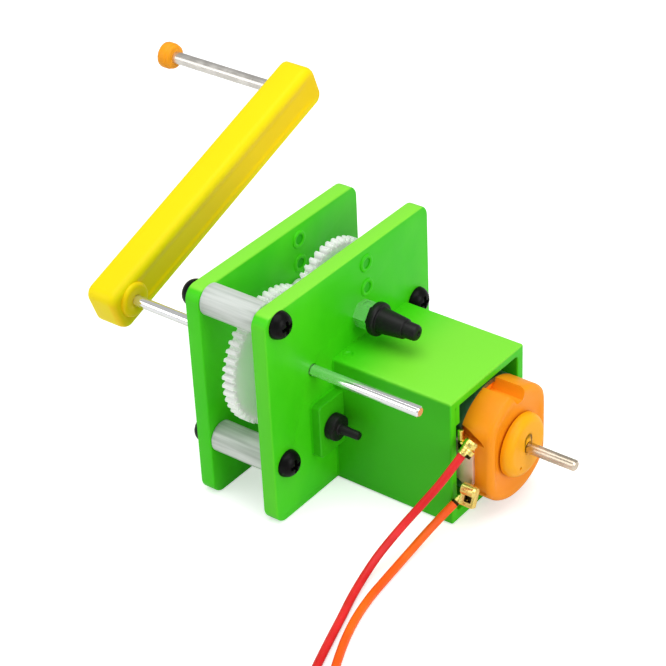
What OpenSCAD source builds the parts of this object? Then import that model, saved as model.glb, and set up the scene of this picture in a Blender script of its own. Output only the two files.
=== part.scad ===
/* [Plates] */
// Height of both side plates
plate_h = 42; // [41.8:0.2:44]
// Thickness of each side plate
plate_t = 3; // [2.8:0.1:3.4]
// Clear gap between the two plates
plate_gap = 11.5; // [11.3:0.1:13]
// Near edge of the front plate, measured from the motor's axis
front_near = 28.6; // [28.4:0.2:30]
// Far edge of the front plate, measured from the motor's axis
front_far = 17.3; // [17.1:0.2:18.5]
// How much shorter the back plate is at its near edge
back_near_step = 0.6; // [0.2:0.1:0.8]
// How much shorter the back plate is at its far edge
back_far_step = 1.3; // [0.4:0.1:1.3]
// Radius of the plates' corners
corner_r = 2.5; // [1.5:0.1:3]
// Rounding along the edges of the moulded green parts
edge_r = 0.3; // [0.2:0.1:0.5]

/* [Motor housing] */
// Length of the moulded motor housing in front of the front plate
housing_len = 24.5; // [23:0.5:25]
// Wall of the motor housing
housing_wall = 1.8; // [1.5:0.1:2]
// Rounding along the housing's long edges
housing_edge_r = 0.6; // [0.5:0.1:1.2]
// Play between the motor and the housing
motor_play = 0.1; // [0.05:0.05:0.2]
// Room beside the motor for its contact strip
strip_room = 1.2; // [1:0.1:1.4]
// Width of the square pad beside the housing
pad_w = 6.7; // [6:0.1:7]
// Height of the pad
pad_h = 10.6; // [9.6:0.1:11]
// How far the pad stands out of the front plate
pad_proud = 2.1; // [1.8:0.1:2.4]

/* [Gears] */
// Module of all the gears
gear_module = 0.5; // [0.49:0.005:0.505]
// Teeth of the crank gear
crank_teeth = 48; // [47:1:48]
// Teeth of the second gear's wheel
second_teeth = 46; // [45:1:46]
// Teeth of the third gear's wheel
third_teeth = 32; // [30:1:32]
// Teeth of all the pinions
pinion_teeth = 10; // [10:1:11]
// Face width of the crank gear
crank_gear_w = 2.3; // [2:0.1:2.5]
// Face width of the second and third wheels
wheel_w = 1.7; // [1.5:0.05:1.75]
// Gap between the faces of gears that pass each other
gear_gap = 0.4; // [0.36:0.02:0.44]

/* [Shafts] */
// Diameter of every shaft and axle
shaft_d = 2; // [1.9:0.05:2.1]
// Running clearance of a shaft in its hole, on the radius
run_clear = 0.04; // [0.02:0.01:0.06]
// Free length of the crank shaft in front of the front plate
crank_free = 22.2; // [18:0.2:26]
// Free length of the crank shaft between the back plate and the arm
crank_reach = 23.3; // [20:0.1:26]
// Free length of the motor shaft in front of the motor
motor_free = 9.5; // [7:0.1:12]

/* [Crank arm] */
// Angle of the arm above level at rest
arm_angle = 19.5; // [0:0.5:45]
// Distance from the crank shaft to the handle rod
arm_throw = 54; // [44:1:60]
// Width of the arm
arm_w = 8.6; // [8:0.1:9]
// Thickness of the arm
arm_t = 6.8; // [6:0.1:7.5]
// Diameter of the handle rod
rod_d = 2.4; // [2:0.1:2.6]
// Free length of the handle rod behind the arm
rod_free = 24.4; // [18:0.2:30]
// Length of the cap on the handle rod
cap_len = 2.8; // [2.6:0.1:4]

/* [Motor] */
// Radius of the motor's round sides
motor_r = 10.6; // [10.4:0.1:10.7]
// Half the distance across the motor's flats
motor_flat = 8.6; // [8.4:0.1:8.7]
// Length of the end cap behind the motor's can
endcap_len = 6; // [5.5:0.1:7]
// Radius of the round boss on the end cap
boss_r = 5.85; // [5.5:0.05:6.2]
// How far the round boss stands out
boss_proud = 1.9; // [1.5:0.1:2.2]

/* [Fasteners] */
// Diameter of the screws
screw_d = 2.5; // [2.3:0.1:2.6]
// Diameter of the screw heads
head_d = 5; // [4.6:0.1:5.2]
// Height of the screw heads
head_h = 2; // [1.6:0.1:2.2]
// Diameter of the spacers between the plates
spacer_d = 5.7; // [5:0.1:5.8]

/* [Wires] */
// Diameter of the insulated wires
wire_d = 1.5; // [1.3:0.1:1.6]

/* [Hidden] */
$fn = 64;

// One overrun for every cut, so that no cut ends on a face
over = 0.5;
shaft_r = shaft_d / 2;
rod_r = rod_d / 2;
wire_r = wire_d / 2;
// Segments in a rounded edge's quarter circle
edge_steps = 3;
// Shank holes in the plates are this much wider on the radius
screw_clear = 0.1;
// Chamfer on the ends of shafts and axles
shaft_chamfer = 0.25;
// A narrow neck parts each free shaft end from the stretch that runs inside
neck_r = 0.8;
neck_len = 0.5;
neck_out = 0.1;

// Faces of the plates along X, from the front plate's outer face backwards
inner_x = -plate_t;
back_inner_x = inner_x - plate_gap;
back_outer_x = back_inner_x - plate_t;

// The gear train: crank shaft, second axle, third axle and motor shaft
crank_y = -16.8;
crank_z = 25.9;
motor_z = 12.7;
mesh_angle = 16;
pressure_angle = 20;
gear_backlash = 0.06;
// Addendum and dedendum, as shares of the module
wheel_add_share = 0.6;
wheel_ded_share = 1.15;
pinion_add_share = 0.95;
pinion_ded_share = 0.8;
crank_mesh = gear_module * (crank_teeth + pinion_teeth) / 2;
second_mesh = gear_module * (second_teeth + pinion_teeth) / 2;
third_mesh = gear_module * (third_teeth + pinion_teeth) / 2;
crank_at = [crank_y, crank_z];
second_at = crank_at + crank_mesh * [cos(mesh_angle), sin(mesh_angle)];
motor_at = [0, motor_z];
third_at = meeting(second_at, second_mesh, motor_at, third_mesh);

// Where the gears stand along X, each from the one in front of it
pinion_over = 0.1;
third_front_x = inner_x - gear_gap + pinion_over;
third_back_x = third_front_x - wheel_w;
second_front_x = third_back_x - gear_gap;
second_back_x = second_front_x - wheel_w;
crank_front_x = second_back_x - gear_gap;
crank_back_x = crank_front_x - crank_gear_w;
// Rim, web and hubs of the moulded gears
rim_w = 1.2;
web_recess = 0.5;
hub_r = 1.9;
crank_hub_r = 2.75;
hub_play = 0.3;
// How deep the third axle is pressed into the front plate
third_root = 2.2;

// Each gear's first tooth stands where it meshes at rest
crank_phase = 0;
second_pinion_phase = meshed(crank_phase, crank_teeth, pinion_teeth, heading(crank_at, second_at));
second_phase = 3;
third_pinion_phase = meshed(second_phase, second_teeth, pinion_teeth, heading(second_at, third_at));
third_phase = 5;
motor_phase = meshed(third_phase, third_teeth, pinion_teeth, heading(third_at, motor_at));

// Housing inside and outside, round the motor
cavity_near = -motor_flat - strip_room;
cavity_far = motor_flat + motor_play;
cavity_low = motor_z - motor_r - motor_play;
cavity_top = motor_z + motor_r + motor_play;
housing_near = cavity_near - housing_wall;
housing_far = cavity_far + housing_wall;
housing_top = cavity_top + housing_wall;
pad_z = 8.8;
pad_edge_r = 0.5;
pad_corner_r = 0.8;

// Screws as distances from the plates' edges
screw_near_in = 3.5;
screw_top_in = 2.5;
screw_low_z = 11.5;
screw_far_in = 4;
screw_far_z = 23.9;
screw_places = [
  [-front_near + screw_near_in, plate_h - screw_top_in],
  [-front_near + screw_near_in, screw_low_z],
  [front_far - screw_far_in, screw_far_z]
];
screw_grip = 5.3;
cross_len = 2.6;
cross_w = 0.6;
cross_deep = 1;
// Share of a screw head's radius that its rounding takes
head_flat_share = 0.35;
head_step = 15;

// Moulded rings with a small hole on each plate
ring_r = 1.7;
ring_hole_r = 0.9;
ring_proud = 0.3;
ring_y = -1;
ring_step = 4.8;
ring_top_in = 3.1;
ring_places = [for (k = [0, 1]) [ring_y, plate_h - ring_top_in - ring_step * k]];

// Black post in the pad
post_z_up = 5.3;
post_r = 0.8;
post_len = 5.9;
post_disc_r = 2.45;
post_disc_t = 1.8;
post_root = 3;
post_round = 0.4;
post_at = [housing_near - pad_w / 2, pad_z + post_z_up];

// Hexagonal bush and the black nose on the second axle
hex_af = 4.4;
hex_turn = 21;
hex_len = 2.6;
bush_shank_r = 1.9;
nose_gap = 0.4;
nose_flange_r = 3.05;
nose_flange_t = 1.4;
nose_r = 2.3;
nose_neck_r = 1.8;
nose_tip_r = 1.5;
nose_len = 9.05;
nose_tip_len = 2.6;
nose_grip = 6;
nose_round = 0.35;
nose_at = hex_len + nose_gap;

// Crank arm along X, and its boss and channel
arm_boss_proud = 1.3;
arm_boss_r = 3.4;
arm_face_x = back_outer_x - crank_reach;
arm_back_x = arm_face_x - arm_t;
arm_tail = 4.7;
arm_tip = 4.8;
arm_corner_r = 2;
arm_edge_r = 1;
channel_in = 1;
channel_deep = 0.8;
channel_slope = 0.8;
channel_corner_r = 1;
arm_skin = 1.2;
cap_r = 2.6;
cap_collar_r = 2.4;
cap_collar_len = 0.7;
cap_round = 0.5;
cap_skin = 1;

// Motor along X: the can starts at the front plate's outer face
can_wall = 0.8;
can_boss_r = 3.075;
can_boss_len = 1.7;
can_boss_hole_r = 3.3;
bearing_r = 2.2;
bearing_len = 2.2;
bearing_lip = 0.3;
lip_hole_r = 1.5;
endcap_round = 2.5;
plug_len = 2;
plug_play = 0.05;
endcap_bore_r = 6.5;
endcap_floor = 2.5;
boss_spigot_r = 4;
boss_round = 0.8;
groove_r = 3.2;
groove_up = 1.2;
groove_y = 1;
keyhole_r = 1.9;
keyhole_deep = 0.5;
keyhole_slot_w = 1.4;
keyhole_slot_up = 3.2;
vent_r = 0.3;
vent_y = -2.3;
vent_down = 3.1;
side_notch_deep = 1.2;
side_notch_len = 4.3;
side_notch_h = 2.4;
side_notch_up = 3.6;
magnet_in_r = 7.5;
magnet_x = 5;
magnet_end = 6.5;
magnet_len = housing_len - magnet_x - magnet_end;
magnet_half_angle = 52;
magnet_half_y = magnet_in_r * sin(magnet_half_angle);
core_r = 7.2;
core_x = 6.5;
core_end = 8;
core_len = housing_len - core_x - core_end;
core_hub_r = 2.6;
pole_count = 3;
pole_w = 2.4;
shoe_t = 1.5;
shoe_half_angle = 50;
winding_w = 1.6;
winding_over = 1.5;
winding_air = 0.2;
commutator_r = 2.2;
commutator_len = 4.5;
commutator_gap = 0.5;
commutator_x = housing_len + endcap_len - endcap_floor - commutator_gap - commutator_len;
commutator_slot = 0.3;
brush_w = 2.4;
brush_t = 0.4;
brush_air = 0.05;

// Contact strip and the crimped terminals on the motor's near side
strip_t = 0.8;
strip_inside = 5;
strip_outside = 3.1;
strip_low = 8.3;
strip_top = 19;
strip_cut = 1.1;
strip_near_y = -motor_flat - strip_t;
tab_t = 0.6;
tab_w = 1.5;
tab_low = 14.5;
tab_top = 19.6;
fold_deep = 1.6;
fold_up = 2.1;
fold_t = 1;
crimp_r = 1.2;
crimp_len = 2.8;
lug_w = 3.2;
lug_h = 4.4;
lug_t = 1.7;
lug_low = 4.9;
lug_in = 1;
lug_hole_w = 1.3;
lug_hole_h = 1.7;
lug_tilt = 10;
lug_collar_len = 1.3;

// Both wires are laid by hand from where the contact strip leaves the housing
wire_root = [housing_len, strip_near_y, 0];
// Route of the red wire, from its terminal to its coil
red_path = [
  [2.1, -2.2, 15.7], [1.3, -2.7, 14.4], [0.5, -3.3, 13], [-0.7, -4.5, 10.9], [-1.9, -5.8, 8.8],
  [-3.1, -7.2, 6.8], [-4.1, -8.6, 4.9], [-5.1, -10.2, 3], [-5.8, -11.8, 1.6], [-6.1, -13.5, 0.9],
  [-5.7, -15.6, 0.75], [-4.6, -18.3, 0.75], [-3.4, -22.6, 0.75], [-2.1, -27.6, 0.75], [-0.7, -32.6, 0.75],
  [0.9, -37.6, 0.75], [2.7, -43, 0.75], [4.7, -48.6, 0.75], [6.7, -54.1, 0.75], [8.1, -57.9, 0.75]
];
// Route of the orange wire, from its terminal to its coil
orange_path = [
  [1.1, -2.6, 5.3], [0.5, -3.3, 4.8], [-0.1, -4.1, 4.1], [-0.9, -5.2, 3], [-1.7, -6.6, 1.8],
  [-2.1, -8.2, 1], [-2.1, -10.2, 0.75], [-1.9, -12.6, 0.75], [-1.4, -15.6, 0.75], [-0.6, -19.6, 0.75],
  [0, -23.6, 0.75], [0.5, -27.6, 0.75], [1.4, -31.8, 0.75], [2.9, -36.2, 0.75], [4.9, -41, 0.75],
  [7.4, -46.2, 0.75], [10.5, -52.2, 0.75]
];
red_route = [for (p = red_path) wire_root + p];
orange_route = [for (p = orange_path) wire_root + p];
coil_r = 10;
coil_pitch = 2.2;
coil_turns = 1.625;
coil_rings = 24;
tail_r = 3.5;
tail_angle = 100;
tail_steps = 6;
coil_sides = 6;
wire_sides = 8;
pin_sleeve_len = 3;
pin_len = 6;
pin_r = 0.5;
red_coil_line = coil_line(red_route, -1);
orange_coil_line = coil_line(orange_route, 1);
echo(red_wire_length = line_length(red_route) + line_length(red_coil_line));
echo(orange_wire_length = line_length(orange_route) + line_length(orange_coil_line));
echo(red_coil_gap = self_gap(red_coil_line, wire_d), orange_coil_gap = self_gap(orange_coil_line, wire_d));

// Angle from one place to another, in the YZ plane
function heading(a, b) = atan2(b[1] - a[1], b[0] - a[0]);

// Where a circle about a and a circle about b meet, on the near side
function meeting(a, ra, b, rb) =
  let(d = norm(b - a), u = (b - a) / d, s = (ra * ra - rb * rb + d * d) / (2 * d), h = sqrt(ra * ra - s * s))
  a + s * u + h * [u[1], -u[0]];

// First tooth of a gear that meshes with another along the direction dir
function meshed(phase, teeth, teeth2, dir) = dir + 180 + 180 / teeth2 + (dir - phase) * teeth / teeth2;

// Involute function, in degrees
function involute(a) = tan(a) * 180 / PI - a;

// Half the angle that a tooth takes at the radius r
function tooth_half(teeth, base_r, r) =
  90 / teeth - gear_backlash / (gear_module * teeth) * 180 / PI
  + involute(pressure_angle) - involute(acos(min(1, base_r / r)));

// Outline of a gear with involute flanks
function gear_outline(teeth, add, ded, phase, steps = 3) =
  let(
    pitch_r = gear_module * teeth / 2,
    base_r = pitch_r * cos(pressure_angle),
    tip_r = pitch_r + add * gear_module,
    root_r = pitch_r - ded * gear_module,
    low_r = max(base_r, root_r),
    radii = [for (k = [0:steps]) low_r + (tip_r - low_r) * k / steps],
    foot = tooth_half(teeth, base_r, low_r)
  )
  [for (i = [0:teeth - 1])
    let(
      a = phase + i * 360 / teeth,
      right = [for (r = radii) [r, a - tooth_half(teeth, base_r, r)]],
      left = [for (k = [steps:-1:0]) [radii[k], a + tooth_half(teeth, base_r, radii[k])]],
      feet = low_r > root_r ? [[root_r, a - foot]] : [],
      feet2 = low_r > root_r ? [[root_r, a + foot]] : []
    )
    for (p = concat(feet, right, left, feet2)) p[0] * [cos(p[1]), sin(p[1])]
  ];

// Quarter circle from one direction to the next, for profiles
function quarter(centre, r, from) =
  [for (k = [0:edge_steps]) centre + r * [cos(from + 90 * k / edge_steps), sin(from + 90 * k / edge_steps)]];

// Places along a wire's coil, which starts where and as its route ends
function coil_line(route, side) =
  let(
    last = route[len(route) - 1],
    before = route[len(route) - 2],
    ahead = (last - before) / norm(last - before),
    start = last + ahead * wire_d,
    inward = side * [-ahead[1], ahead[0], 0],
    centre = start + coil_r * inward,
    a0 = atan2(-inward[1], -inward[0]),
    count = round(coil_turns * coil_rings),
    ae = a0 + side * 360 * count / coil_rings,
    end_r = coil_r - coil_pitch * count / coil_rings,
    end = centre + end_r * [cos(ae), sin(ae), 0],
    te = side * [-sin(ae), cos(ae), 0],
    ne = -[cos(ae), sin(ae), 0],
    tail_end = end + tail_r * (ne * (1 - cos(tail_angle)) + te * sin(tail_angle)),
    out = te * cos(tail_angle) + ne * sin(tail_angle)
  )
  concat(
    [last],
    [for (k = [0:count])
      let(a = a0 + side * 360 * k / coil_rings, r = coil_r - coil_pitch * k / coil_rings)
      centre + r * [cos(a), sin(a), 0]],
    [for (k = [1:tail_steps])
      let(b = tail_angle * k / tail_steps)
      end + tail_r * (ne * (1 - cos(b)) + te * sin(b))],
    [tail_end + out * wire_d]
  );

function unit(v) = v / norm(v);
function line_length(p) = len(p) < 2 ? 0 : sum([for (i = [1:len(p) - 1]) norm(p[i] - p[i - 1])]);
function sum(v, i = 0) = i >= len(v) ? 0 : v[i] + sum(v, i + 1);
// Least gap between stretches of one line that lie a few of its steps apart
function self_gap(p, d, apart = 5) =
  min([for (i = [0:len(p) - 1]) for (j = [0:len(p) - 1]) if (j - i >= apart) norm(p[i] - p[j])]) - d;

module along_x(x, at) {
  translate([x, at[0], at[1]]) rotate([0, 90, 0]) children();
}

module rod_x(x0, x1, r, at) {
  along_x(x0, at) cylinder(h = x1 - x0, r = r);
}

// A shaft with chamfered ends
module shaft_x(x0, x1, r, at) {
  along_x(x0, at) rotate_extrude() polygon([
    [0, 0], [r - shaft_chamfer, 0], [r, shaft_chamfer],
    [r, x1 - x0 - shaft_chamfer], [r - shaft_chamfer, x1 - x0], [0, x1 - x0]
  ]);
}

// A shaft whose free end starts at out_x, in front of its neck
module necked_shaft(x0, x1, r, out_x, at) {
  difference() {
    shaft_x(x0, x1, r, at);
    difference() {
      rod_x(out_x - neck_len, out_x, r + over, at);
      rod_x(out_x - neck_len - over, out_x + over, neck_r, at);
    }
  }
}

// A slab across X with round corners and softly rounded edges
module soft_slab(x0, x1, low, high, corner, edge) {
  t = x1 - x0;
  hull() for (y = [low[0] + corner, high[0] - corner]) for (z = [low[1] + corner, high[1] - corner])
    along_x(x0, [y, z]) rotate_extrude($fn = 32) polygon(concat(
      [[0, 0]],
      quarter([corner - edge, edge], edge, -90),
      quarter([corner - edge, t - edge], edge, 0),
      [[0, t]]
    ));
}

module toothed_wheel(x0, x1, teeth, add, ded, phase, at) {
  translate([x0, at[0], at[1]]) rotate([90, 0, 90])
    linear_extrude(x1 - x0) polygon(gear_outline(teeth, add, ded, phase));
}

module ring_marks(x) {
  for (p = ring_places) rod_x(x, x + ring_proud, ring_r, p);
}

module ring_holes(x) {
  for (p = ring_places) rod_x(x - ring_proud - over, x + ring_proud + over, ring_hole_r, p);
}

module screw_holes() {
  for (p = screw_places) rod_x(back_outer_x - over, over, screw_d / 2 + screw_clear, p);
}

// Front plate, moulded in one piece with the motor housing and the pad
module front_plate() {
  color([0.25, 0.8, 0.08]) difference() {
    union() {
      soft_slab(inner_x, 0, [-front_near, 0], [front_far, plate_h], corner_r, edge_r);
      soft_slab(-plate_t / 2, housing_len, [housing_near, 0], [housing_far, housing_top], housing_edge_r, edge_r);
      soft_slab(
        -plate_t / 2, pad_proud, [housing_near - pad_w, pad_z], [housing_near + 2 * pad_corner_r, pad_z + pad_h],
        pad_corner_r, pad_edge_r
      );
      ring_marks(0);
    }
    translate([0, cavity_near, cavity_low])
      cube([housing_len + over, cavity_far - cavity_near, cavity_top - cavity_low]);
    rod_x(inner_x - over, over, can_boss_hole_r, motor_at);
    rod_x(inner_x - over, over, shaft_r + run_clear, crank_at);
    rod_x(inner_x - over, over, bush_shank_r, second_at);
    rod_x(inner_x - over, inner_x + third_root, shaft_r, third_at);
    rod_x(pad_proud - post_root, pad_proud + over, post_r, post_at);
    screw_holes();
    ring_holes(0);
  }
}

module back_plate() {
  color([0.25, 0.8, 0.08]) difference() {
    union() {
      soft_slab(
        back_outer_x, back_inner_x, [-front_near + back_near_step, 0], [front_far - back_far_step, plate_h],
        corner_r, edge_r
      );
      ring_marks(back_inner_x);
    }
    rod_x(back_outer_x - over, back_inner_x + over, shaft_r + run_clear, crank_at);
    rod_x(back_outer_x - over, back_inner_x + over, shaft_r + run_clear, second_at);
    screw_holes();
    ring_holes(back_inner_x);
  }
}

module spacers() {
  color([0.93, 0.93, 0.9]) for (p = screw_places) difference() {
    rod_x(back_inner_x, inner_x, spacer_d / 2, p);
    rod_x(back_inner_x - over, inner_x + over, screw_d / 2, p);
  }
}

// Pan head screw with a cross recess, its head towards +X
module pan_screw() {
  head_r = head_d / 2;
  shank = plate_t + screw_grip;
  difference() {
    union() {
      rotate([0, 90, 0]) rotate_extrude() polygon(concat(
        [[0, 0]],
        [for (a = [0:head_step:90])
          [head_r * (head_flat_share + (1 - head_flat_share) * cos(a)), head_h * sin(a)]],
        [[0, head_h]]
      ));
      rotate([0, 90, 0]) translate([0, 0, -shank]) cylinder(h = shank + head_h / 2, r = screw_d / 2);
    }
    for (a = [0, 90]) rotate([a, 0, 0])
      translate([head_h - cross_deep, -cross_len / 2, -cross_w / 2]) cube([head_h, cross_len, cross_w]);
  }
}

module front_screws() {
  color([0.1, 0.1, 0.1]) for (p = screw_places) translate([0, p[0], p[1]]) pan_screw();
}

module back_screws() {
  color([0.1, 0.1, 0.1]) for (p = screw_places)
    translate([back_outer_x, p[0], p[1]]) mirror([1, 0, 0]) pan_screw();
}

module locating_post() {
  reach = post_root + post_len;
  color([0.08, 0.08, 0.08]) along_x(pad_proud - post_root, post_at) rotate_extrude() polygon(concat(
    [[0, 0], [post_r, 0], [post_r, post_root], [post_disc_r, post_root]],
    quarter([post_disc_r - post_round, post_root + post_disc_t - post_round], post_round, 0),
    [[post_r, post_root + post_disc_t]],
    quarter([post_r - post_round, reach - post_round], post_round, 0),
    [[0, reach]]
  ));
}

module crank_shaft() {
  color([0.8, 0.8, 0.82]) necked_shaft(arm_back_x + arm_skin, crank_free, shaft_r, neck_out, crank_at);
}

// Places along the arm, turned about the crank shaft
module on_arm() {
  translate([0, crank_y, crank_z]) rotate([arm_angle, 0, 0]) children();
}

// Flat outline of the arm's channel, drawn in by the given amount
module channel_outline(x, t, draw_in) {
  side = arm_w / 2 - channel_in - draw_in;
  translate([x, channel_in - arm_tail + draw_in, -side])
    cube([t, arm_tail + arm_throw + arm_tip - 2 * channel_in - 2 * draw_in, 2 * side]);
}

module crank_arm() {
  floor_x = arm_face_x - channel_deep;
  color([1, 0.93, 0.06]) on_arm() difference() {
    union() {
      difference() {
        soft_slab(
          arm_back_x, arm_face_x, [-arm_tail, -arm_w / 2], [arm_throw + arm_tip, arm_w / 2],
          arm_corner_r, arm_edge_r
        );
        hull() {
          channel_outline(arm_face_x, over, 0);
          channel_outline(floor_x, channel_deep / 2, channel_slope);
        }
      }
      along_x(floor_x - channel_deep / 2, [0, 0]) rotate_extrude() polygon(concat(
        [[0, 0], [arm_boss_r, 0]],
        quarter([arm_boss_r - edge_r, channel_deep * 3 / 2 + arm_boss_proud - edge_r], edge_r, 0),
        [[0, channel_deep * 3 / 2 + arm_boss_proud]]
      ));
    }
    rod_x(arm_back_x + arm_skin, arm_face_x + arm_boss_proud + over, shaft_r, [0, 0]);
    rod_x(arm_back_x - over, floor_x - arm_skin, rod_r, [arm_throw, 0]);
  }
}

module handle_rod() {
  color([0.78, 0.74, 0.7]) on_arm()
    shaft_x(
      arm_back_x - rod_free - cap_len + cap_skin, arm_face_x - channel_deep - arm_skin, rod_r, [arm_throw, 0]
    );
}

// Cap pressed on the handle rod, its collar towards the arm
module handle_cap() {
  bore = cap_len - cap_skin;
  color([0.98, 0.59, 0.08]) on_arm()
    along_x(arm_back_x - rod_free, [arm_throw, 0]) rotate([180, 0, 0]) rotate_extrude() polygon(concat(
      [[0, bore], [rod_r, bore], [rod_r, 0]],
      quarter([cap_collar_r - edge_r, edge_r], edge_r, -90),
      [[cap_collar_r, cap_collar_len], [cap_r, cap_collar_len]],
      quarter([cap_r - cap_round, cap_len - cap_round], cap_round, 0),
      [[0, cap_len]]
    ));
}

module crank_gear() {
  root = gear_module * (crank_teeth / 2 - wheel_ded_share);
  color([0.95, 0.96, 0.93]) difference() {
    union() {
      toothed_wheel(
        crank_back_x, crank_front_x, crank_teeth, wheel_add_share, wheel_ded_share, crank_phase, crank_at
      );
      rod_x(back_inner_x + hub_play, crank_back_x + web_recess, crank_hub_r, crank_at);
      rod_x(crank_front_x - web_recess, inner_x - hub_play, hub_r, crank_at);
    }
    difference() {
      rod_x(crank_back_x - over, crank_back_x + web_recess, root - rim_w, crank_at);
      rod_x(back_inner_x, crank_back_x + 2 * web_recess, crank_hub_r, crank_at);
    }
    rod_x(back_inner_x, inner_x, shaft_r, crank_at);
  }
}

module second_gear() {
  root = gear_module * (second_teeth / 2 - wheel_ded_share);
  color([0.9, 0.91, 0.9]) difference() {
    union() {
      toothed_wheel(
        second_back_x, second_front_x, second_teeth, wheel_add_share, wheel_ded_share, second_phase, second_at
      );
      toothed_wheel(
        crank_back_x - pinion_over, second_back_x + web_recess, pinion_teeth, pinion_add_share, pinion_ded_share,
        second_pinion_phase, second_at
      );
      rod_x(back_inner_x + hub_play, crank_back_x, hub_r, second_at);
      rod_x(second_front_x - web_recess, inner_x - hub_play, hub_r, second_at);
    }
    difference() {
      rod_x(second_front_x - web_recess, second_front_x + over, root - rim_w, second_at);
      rod_x(second_front_x - 2 * web_recess, inner_x, crank_hub_r, second_at);
    }
    rod_x(back_inner_x, inner_x, shaft_r, second_at);
  }
}

module second_axle() {
  color([0.8, 0.8, 0.82])
    shaft_x(back_outer_x + shaft_chamfer, nose_at + nose_grip, shaft_r, second_at);
}

module hex_bush() {
  color([0.82, 0.82, 0.84]) difference() {
    union() {
      rod_x(inner_x, hex_len / 2, bush_shank_r, second_at);
      along_x(0, second_at) rotate([0, 0, hex_turn]) cylinder(h = hex_len, r = hex_af / 2 / cos(30), $fn = 6);
    }
    rod_x(inner_x - over, hex_len + over, shaft_r + run_clear, second_at);
  }
}

// Black nose pressed on the second axle in front of its bush
module axle_nose() {
  color([0.1, 0.1, 0.1]) along_x(nose_at, second_at) rotate_extrude() polygon(concat(
    [[0, nose_grip], [shaft_r, nose_grip], [shaft_r, 0]],
    [[nose_flange_r, 0], [nose_flange_r, nose_flange_t], [nose_r, nose_flange_t + nose_round]],
    [[nose_neck_r, nose_len - nose_tip_len], [nose_tip_r, nose_len - nose_tip_len]],
    quarter([nose_tip_r - nose_round, nose_len - nose_round], nose_round, 0),
    [[0, nose_len]]
  ));
}

module third_gear() {
  color([0.95, 0.96, 0.93]) difference() {
    union() {
      toothed_wheel(
        third_back_x, third_front_x, third_teeth, wheel_add_share, wheel_ded_share, third_phase, third_at
      );
      toothed_wheel(
        second_back_x - pinion_over, third_back_x + web_recess, pinion_teeth, pinion_add_share, pinion_ded_share,
        third_pinion_phase, third_at
      );
    }
    rod_x(second_back_x - over, third_front_x + over, shaft_r + run_clear, third_at);
  }
}

module third_axle() {
  color([0.8, 0.8, 0.82]) shaft_x(second_back_x - pinion_over, inner_x + third_root, shaft_r, third_at);
}

// Round bar with two flats, the section of the motor
module motor_section(x0, x1, r, flat) {
  intersection() {
    rod_x(x0, x1, r, motor_at);
    translate([x0, -flat, motor_z - r]) cube([x1 - x0, 2 * flat, 2 * r]);
  }
}

module motor_can() {
  color([0.55, 0.6, 0.6]) difference() {
    union() {
      motor_section(0, housing_len, motor_r, motor_flat);
      rod_x(-can_boss_len, can_wall, can_boss_r, motor_at);
    }
    motor_section(can_wall, housing_len + over, motor_r - can_wall, motor_flat - can_wall);
    rod_x(bearing_lip - can_boss_len, can_wall + over, bearing_r, motor_at);
    rod_x(-can_boss_len - over, 0, lip_hole_r, motor_at);
  }
}

// End cap with a rounded rim, a groove on top and two notches on the near side
module motor_endcap() {
  x1 = housing_len + endcap_len;
  inner = motor_r - can_wall - plug_play;
  color([0.96, 0.56, 0.08]) difference() {
    union() {
      intersection() {
        along_x(housing_len, motor_at) rotate_extrude() polygon(concat(
          [[0, 0], [motor_r, 0]],
          quarter([motor_r - endcap_round, endcap_len - endcap_round], endcap_round, 0),
          [[0, endcap_len]]
        ));
        translate([housing_len, 0, motor_z - motor_r]) linear_extrude(2 * motor_r) polygon(concat(
          [[0, motor_flat], [0, -motor_flat]],
          quarter([endcap_len - endcap_round, endcap_round - motor_flat], endcap_round, -90),
          quarter([endcap_len - endcap_round, motor_flat - endcap_round], endcap_round, 0)
        ));
      }
      motor_section(housing_len - plug_len, housing_len, inner, motor_flat - can_wall - plug_play);
    }
    rod_x(housing_len - plug_len - over, x1 - endcap_floor, endcap_bore_r, motor_at);
    rod_x(x1 - endcap_floor - over, x1 + over, boss_spigot_r, motor_at);
    rod_x(housing_len, x1 + over, groove_r, [groove_y, motor_z + motor_r + groove_up]);
    translate([housing_len, -motor_flat - over, motor_z + side_notch_up])
      cube([side_notch_len, side_notch_deep + over, side_notch_h]);
  }
}

// Bearing boss with a keyhole recess round the shaft
module motor_boss() {
  x1 = housing_len + endcap_len;
  face = x1 + boss_proud;
  color([1, 0.73, 0.05]) difference() {
    union() {
      rod_x(x1 - endcap_floor, x1, boss_spigot_r, motor_at);
      along_x(x1, motor_at) rotate_extrude() polygon(concat(
        [[0, 0], [boss_r, 0]],
        quarter([boss_r - boss_round, boss_proud - boss_round], boss_round, 0),
        [[0, boss_proud]]
      ));
    }
    rod_x(x1 - endcap_floor - over, face - endcap_floor + bearing_len, bearing_r, motor_at);
    rod_x(x1, face + over, lip_hole_r, motor_at);
    rod_x(face - keyhole_deep, face + over, keyhole_r, motor_at);
    translate([face - keyhole_deep, -keyhole_slot_w / 2, motor_z])
      cube([keyhole_deep + over, keyhole_slot_w, keyhole_slot_up]);
    rod_x(face - keyhole_deep, face + over, vent_r, [vent_y, motor_z - vent_down]);
  }
}

// Bronze bushes that carry the motor shaft at both ends
module motor_bearings() {
  rear_x = housing_len + endcap_len + boss_proud - endcap_floor;
  color([0.7, 0.5, 0.25]) for (x = [bearing_lip - can_boss_len, rear_x]) difference() {
    rod_x(x, x + bearing_len, bearing_r, motor_at);
    rod_x(x - over, x + bearing_len + over, shaft_r + run_clear, motor_at);
  }
}

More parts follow.
